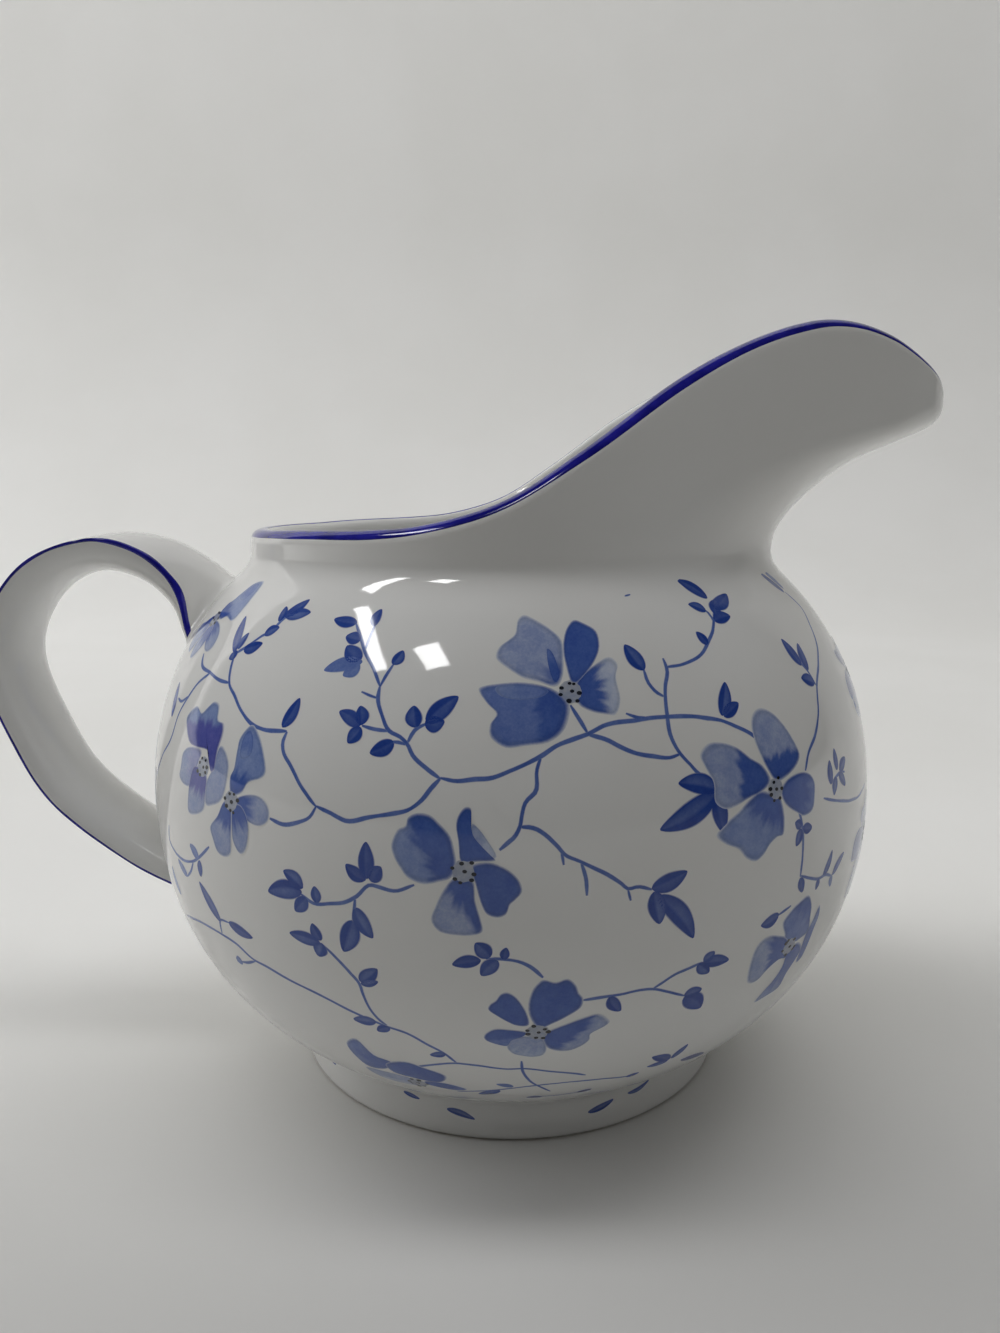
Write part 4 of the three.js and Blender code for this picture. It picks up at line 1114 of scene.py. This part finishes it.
def draw_leaf(patch, leaf):
    """A pointed leaf: fuller towards its root, one flank in a stronger wash, its edge darkest."""
    angle, z, tip_angle, tip_z, width, tone = leaf
    root = glaze_point(angle, z)[0]
    tip = glaze_point(tip_angle, tip_z)[0]
    normal = glaze_frame((root + tip) / 2)[1]
    way = tip - root
    length = np.linalg.norm(way)
    side = unit(np.cross(normal, way))
    u = np.linspace(0, 1, 19)
    v = np.array((-1, -0.86, -0.6, -0.3, 0, 0.3, 0.6, 0.86, 1))
    bow = print_random.uniform(-0.3, 0.3) * length * u * (1 - u)
    middle = root + u[:, None] * way + bow[:, None] * side
    swell = np.sin(math.pi * u ** 0.85) ** 0.75
    half = 0.5 * LEAF_WIDTH * width * (swell + 0.04) + 0.05
    grid = middle[:, None] + side * (half[:, None] * v)[..., None]
    flank = print_random.choice((-1, 1))
    light = print_random.uniform(0.15, 0.75)
    inside = np.clip(1 - (np.abs(v - 0.25 * flank) / 0.55) ** 2, 0, 1) * swell[:, None]
    vein = np.exp(-(v / 0.10) ** 2) * 0.10
    share = np.clip(0.8 * light * inside * (0.5 + 0.5 * u[:, None]) + vein, 0, 1)
    tones = blend_tones(tone, "soft", share)
    fade_sides(tones, EDGE_FADE["leaf"])
    patch.add_slab(grid, tones, LIFTS["leaf"])


def closed_curve(points, steps):
    """A smooth closed curve through the points, with the given steps between neighbours."""
    points = np.array(points, float)
    before, after = np.roll(points, 1, axis=0), np.roll(points, -1, axis=0)
    t = np.linspace(0, 1, steps, endpoint=False)[:, None, None]
    leaving, arriving = (after - before) / 2, (np.roll(after, -1, axis=0) - points) / 2
    return cubic(t, points, after, leaving, arriving).transpose(1, 0, 2).reshape(-1, 2)


def draw_petal(patch, heart, right, up, petal, layer):
    """A brushed wash inside a drawn outline: dark on one side, pale beyond a soft boundary."""
    dark, pale, turn, offset, softness, outline, *over = petal
    fade = 0.0 if over else EDGE_FADE["petal"]
    edge = closed_curve(outline, PETAL_CURVE_STEPS)
    middle = edge.mean(axis=0)
    flat = middle + PETAL_SPREAD * PETAL_RINGS[:, None, None] * (edge - middle)
    x, y = flat[..., 0], flat[..., 1]
    turn = math.radians(turn)
    along = x * math.cos(turn) + y * math.sin(turn)
    about = np.arctan2(y, x)
    far = np.hypot(x, y)
    phases = print_random.uniform(0, 6, 4)
    streaks = 0.22 * np.sin(15 * about + phases[0])
    streaks = streaks + 0.14 * np.sin(34 * about + 0.8 * far + phases[1])
    drift = 0.25 * np.sin(0.9 * x + phases[2]) * np.sin(0.8 * y + phases[3])
    share = np.clip(0.5 + (along - offset) / softness + (streaks + drift) / math.sqrt(softness), 0, 1)
    share = share * share * (3 - 2 * share)
    tone = blend_tones(dark, pale, share)
    ring = PETAL_RINGS[:, None, None]
    tone = tone * (1 - 0.16 * np.exp(-((ring - 0.89) / 0.05) ** 2))
    tone = tone + (WHITE - tone) * (fade * np.clip((ring - 0.92) / 0.08, 0, 1))
    points = heart + flat[..., :1] * right + flat[..., 1:] * up
    patch.add_dab(points, tone, LIFTS["petal"] + PETAL_LAYER_LIFT * layer)


def draw_disc(patch, centre, right, up, radius, tone, lift, sides=12):
    """A small rounded dab with a soft edge."""
    turns = np.linspace(0, 2 * math.pi, sides, endpoint=False)[:, None]
    ring = right * np.cos(turns) + up * np.sin(turns)
    shares = np.array((0.4, 0.86, 1.0))[:, None, None]
    shade = np.array(TONES[tone]) + np.array((0, 0, 0.35))[:, None, None] * (WHITE - TONES[tone])
    points = centre + shares * radius * ring
    patch.add_dab(points, np.broadcast_to(shade, points.shape), lift)


def draw_blossom(patch, place, flower, turned):
    """A flower's petals in order, then its heart and a ring of stamens with one in the middle."""
    heart, level, upright = glaze_point(*place)
    turn = math.radians(turned)
    right = level * math.cos(turn) + upright * math.sin(turn)
    up = upright * math.cos(turn) - level * math.sin(turn)
    for layer, petal in enumerate(FLOWERS[flower]):
        draw_petal(patch, heart, right, up, petal, layer)
    draw_disc(patch, heart, right, up, HEART_RADIUS, "heart", LIFTS["heart"])
    for k in range(STAMEN_COUNT + 1):
        turn = 2 * math.pi * k / STAMEN_COUNT + print_random.uniform(-0.3, 0.3)
        reach = 0.1 if k == STAMEN_COUNT else print_random.uniform(0.7, 1.15)
        centre = heart + reach * (right * math.cos(turn) + up * math.sin(turn))
        size = print_random.uniform(0.19, 0.31)
        draw_disc(patch, centre, right, 0.8 * up, size, "stamen", LIFTS["stamen"], 10)


def clear_of_roots(degrees, z):
    """True where the print isn't under the handle's roots."""
    from_handle = abs(degrees % 360 - 180)
    return not any(from_handle < half and low < z < high for half, low, high in HANDLE_ROOTS)


def make_print():
    """Both sides' strokes, each on the patch of a stem's middle, a leaf's root or a flower's heart."""
    patches = {name: Patch() for name, _, _ in PATCHES}

    def patch_at(degrees):
        degrees = (degrees + 180) % 360 - 180
        return next(patches[name] for name, start, end in PATCHES if start <= degrees <= end)

    for turn in (0, 180):
        for width, path in STEMS:
            kept = [(a + turn, z) for a, z in path if clear_of_roots(a + turn, z)]
            if len(kept) > 1:
                draw_stem(patch_at(kept[len(kept) // 2][0]), width, kept)
        for angle, z, tip_angle, tip_z, width, tone in LEAVES:
            root, tip = (angle + turn, z), (tip_angle + turn, tip_z)
            if clear_of_roots(*root) and clear_of_roots(*tip):
                draw_leaf(patch_at(root[0]), (*root, *tip, width, tone))
        for (angle, z), flower, turned in BLOSSOMS:
            if clear_of_roots(angle + turn, z):
                draw_blossom(patch_at(angle + turn), (angle + turn, z), flower, turned)
    for name, patch in patches.items():
        patch.make("print_" + name, "transfer_" + name)


make_print()

# ---- Camera -------------------------------------------------------------------------------------

CAMERA_PLACE = (5.1, -126.7, 71.0)
CAMERA_PITCH = 10.0
SENSOR_HEIGHT = 36.0
CAMERA_LENS = 26.93

camera_data = bpy.data.cameras.new("camera")
camera_data.sensor_fit = "VERTICAL"
camera_data.sensor_height = SENSOR_HEIGHT
camera_data.lens = CAMERA_LENS
camera_data.clip_start = 0.01
camera = bpy.data.objects.new("camera", camera_data)
camera.location = [MM * c for c in CAMERA_PLACE]
camera.rotation_euler = (math.radians(90 - CAMERA_PITCH), 0, 0)
bpy.context.scene.collection.objects.link(camera)
bpy.context.scene.camera = camera

# ---- Sweep and light ----------------------------------------------------------------------------

bpy.context.scene.view_settings.view_transform = "Standard"


def make_sweep():
    """Floor that curves up into the wall behind: one sheet with a wide bend, with a painted shadow that
    darkens the floor in front of the jug.
    """
    floor_front, wall_y, wall_top, bend, half_width = -900.0, 620.0, 1500.0, 260.0, 1400.0
    line = [(floor_front, 0.0), (-200.0, 0.0), (0.0, 0.0), (wall_y - bend, 0.0)]
    for turn in np.linspace(0, math.pi / 2, 25)[1:]:
        line.append((wall_y - bend + bend * math.sin(turn), bend - bend * math.cos(turn)))
    line.append((wall_y, wall_top))
    points = [(x, y, z) for y, z in line for x in (-half_width, half_width)]
    faces = [[2 * i, 2 * i + 1, 2 * i + 3, 2 * i + 2] for i in range(len(line) - 1)]
    mesh = bpy.data.meshes.new("sweep")
    mesh.from_pydata([[MM * c for c in p] for p in points], [], faces)
    mesh.shade_smooth()
    shader = Shader("sweep_paper", roughness=0.8)
    paper = shader.ramp(shader.noise(9, 4.0), 0.3, 0.7, (0.90, 0.895, 0.87), (0.93, 0.925, 0.905))
    # Painted shadow: the floor's colour is darkened to 0.68 in front of the jug, fading out between 6.5
    # cm in front and 3 cm behind its axis.
    depth = shader.add("SeparateXYZ", {"Vector": shader.place}).outputs["Y"]
    front_shadow = shader.add("MapRange", {"Value": depth, "From Min": -0.065, "From Max": 0.03})
    shade = shader.mix(front_shadow.outputs["Result"], (0.68, 0.68, 0.68), (1, 1, 1))
    shader.colour(shader.mix(1.0, paper, shade, "MULTIPLY"))
    fibre = shader.add("Bump", {"Height": shader.noise(900, 3.0), "Strength": 0.3, "Distance": 0.00005})
    shader.tree.links.new(fibre.outputs["Normal"], shader.main.inputs["Normal"])
    mesh.materials.append(shader.material)
    sweep = bpy.data.objects.new("sweep", mesh)
    bpy.context.scene.collection.objects.link(sweep)


def add_light(name, place, target, size, power):
    """A soft rectangular light at a place, turned to a target, in metres and watts."""
    data = bpy.data.lights.new(name, "AREA")
    data.shape = "RECTANGLE"
    data.size, data.size_y = size
    data.energy = power
    light = bpy.data.objects.new(name, data)
    light.location = place
    way = np.array(target) - np.array(place)
    flat = math.hypot(way[0], way[1])
    light.rotation_euler = (math.atan2(flat, -way[2]), 0, math.atan2(-way[0], way[1]))
    bpy.context.scene.collection.objects.link(light)
    return light


make_sweep()
world = bpy.data.worlds.new("room")
world.use_nodes = True
world.node_tree.nodes["Background"].inputs["Color"].default_value = (1.0, 1.0, 0.98, 1)
world.node_tree.nodes["Background"].inputs["Strength"].default_value = 0.025
bpy.context.scene.world = world

# Soft boxes: place, target, size and power. They light the scene but don't show in the glaze.
SOFT_BOXES = {
    "box_back_left": ((-1.1, 0.3, 0.9), (0, 0, 0.04), (0.9, 0.9), 5.4),
    "box_back_right": ((1.0, 0.3, 0.9), (0, 0, 0.04), (0.9, 0.9), 0.5),
    "box_left": ((-1.3, 0.25, 0.4), (0, 0, 0.04), (0.9, 0.6), 2.8),
    "box_right": ((1.2, -0.2, 0.6), (0, 0, 0.04), (0.9, 0.7), 0.7),
    "box_front": ((0, -0.8, 1.1), (0, 0, 0.04), (1.0, 0.7), 1.0),
    "box_wall": ((0, -0.1, 1.4), (0, 0.62, 0.55), (1.6, 0.4), 8.0),
}
for box_name, box_light in SOFT_BOXES.items():
    add_light(box_name, *box_light).visible_glossy = False

# Two ceiling lights up to the left, which show only as the highlights on the glaze: place, size,
# power and turn.
CEILING_LIGHTS = {
    "strip": ((-0.83, -0.25, 1.2), (0.11, 0.76), 4.2, -0.18),
    "panel": ((-0.48, -0.60, 1.2), (0.17, 0.26), 2.2, 0.1),
}
for light_name, (place, size, power, turned) in CEILING_LIGHTS.items():
    ceiling = add_light(light_name, place, (place[0], place[1], 0), size, power)
    ceiling.rotation_euler[2] = turned
    ceiling.visible_diffuse = False
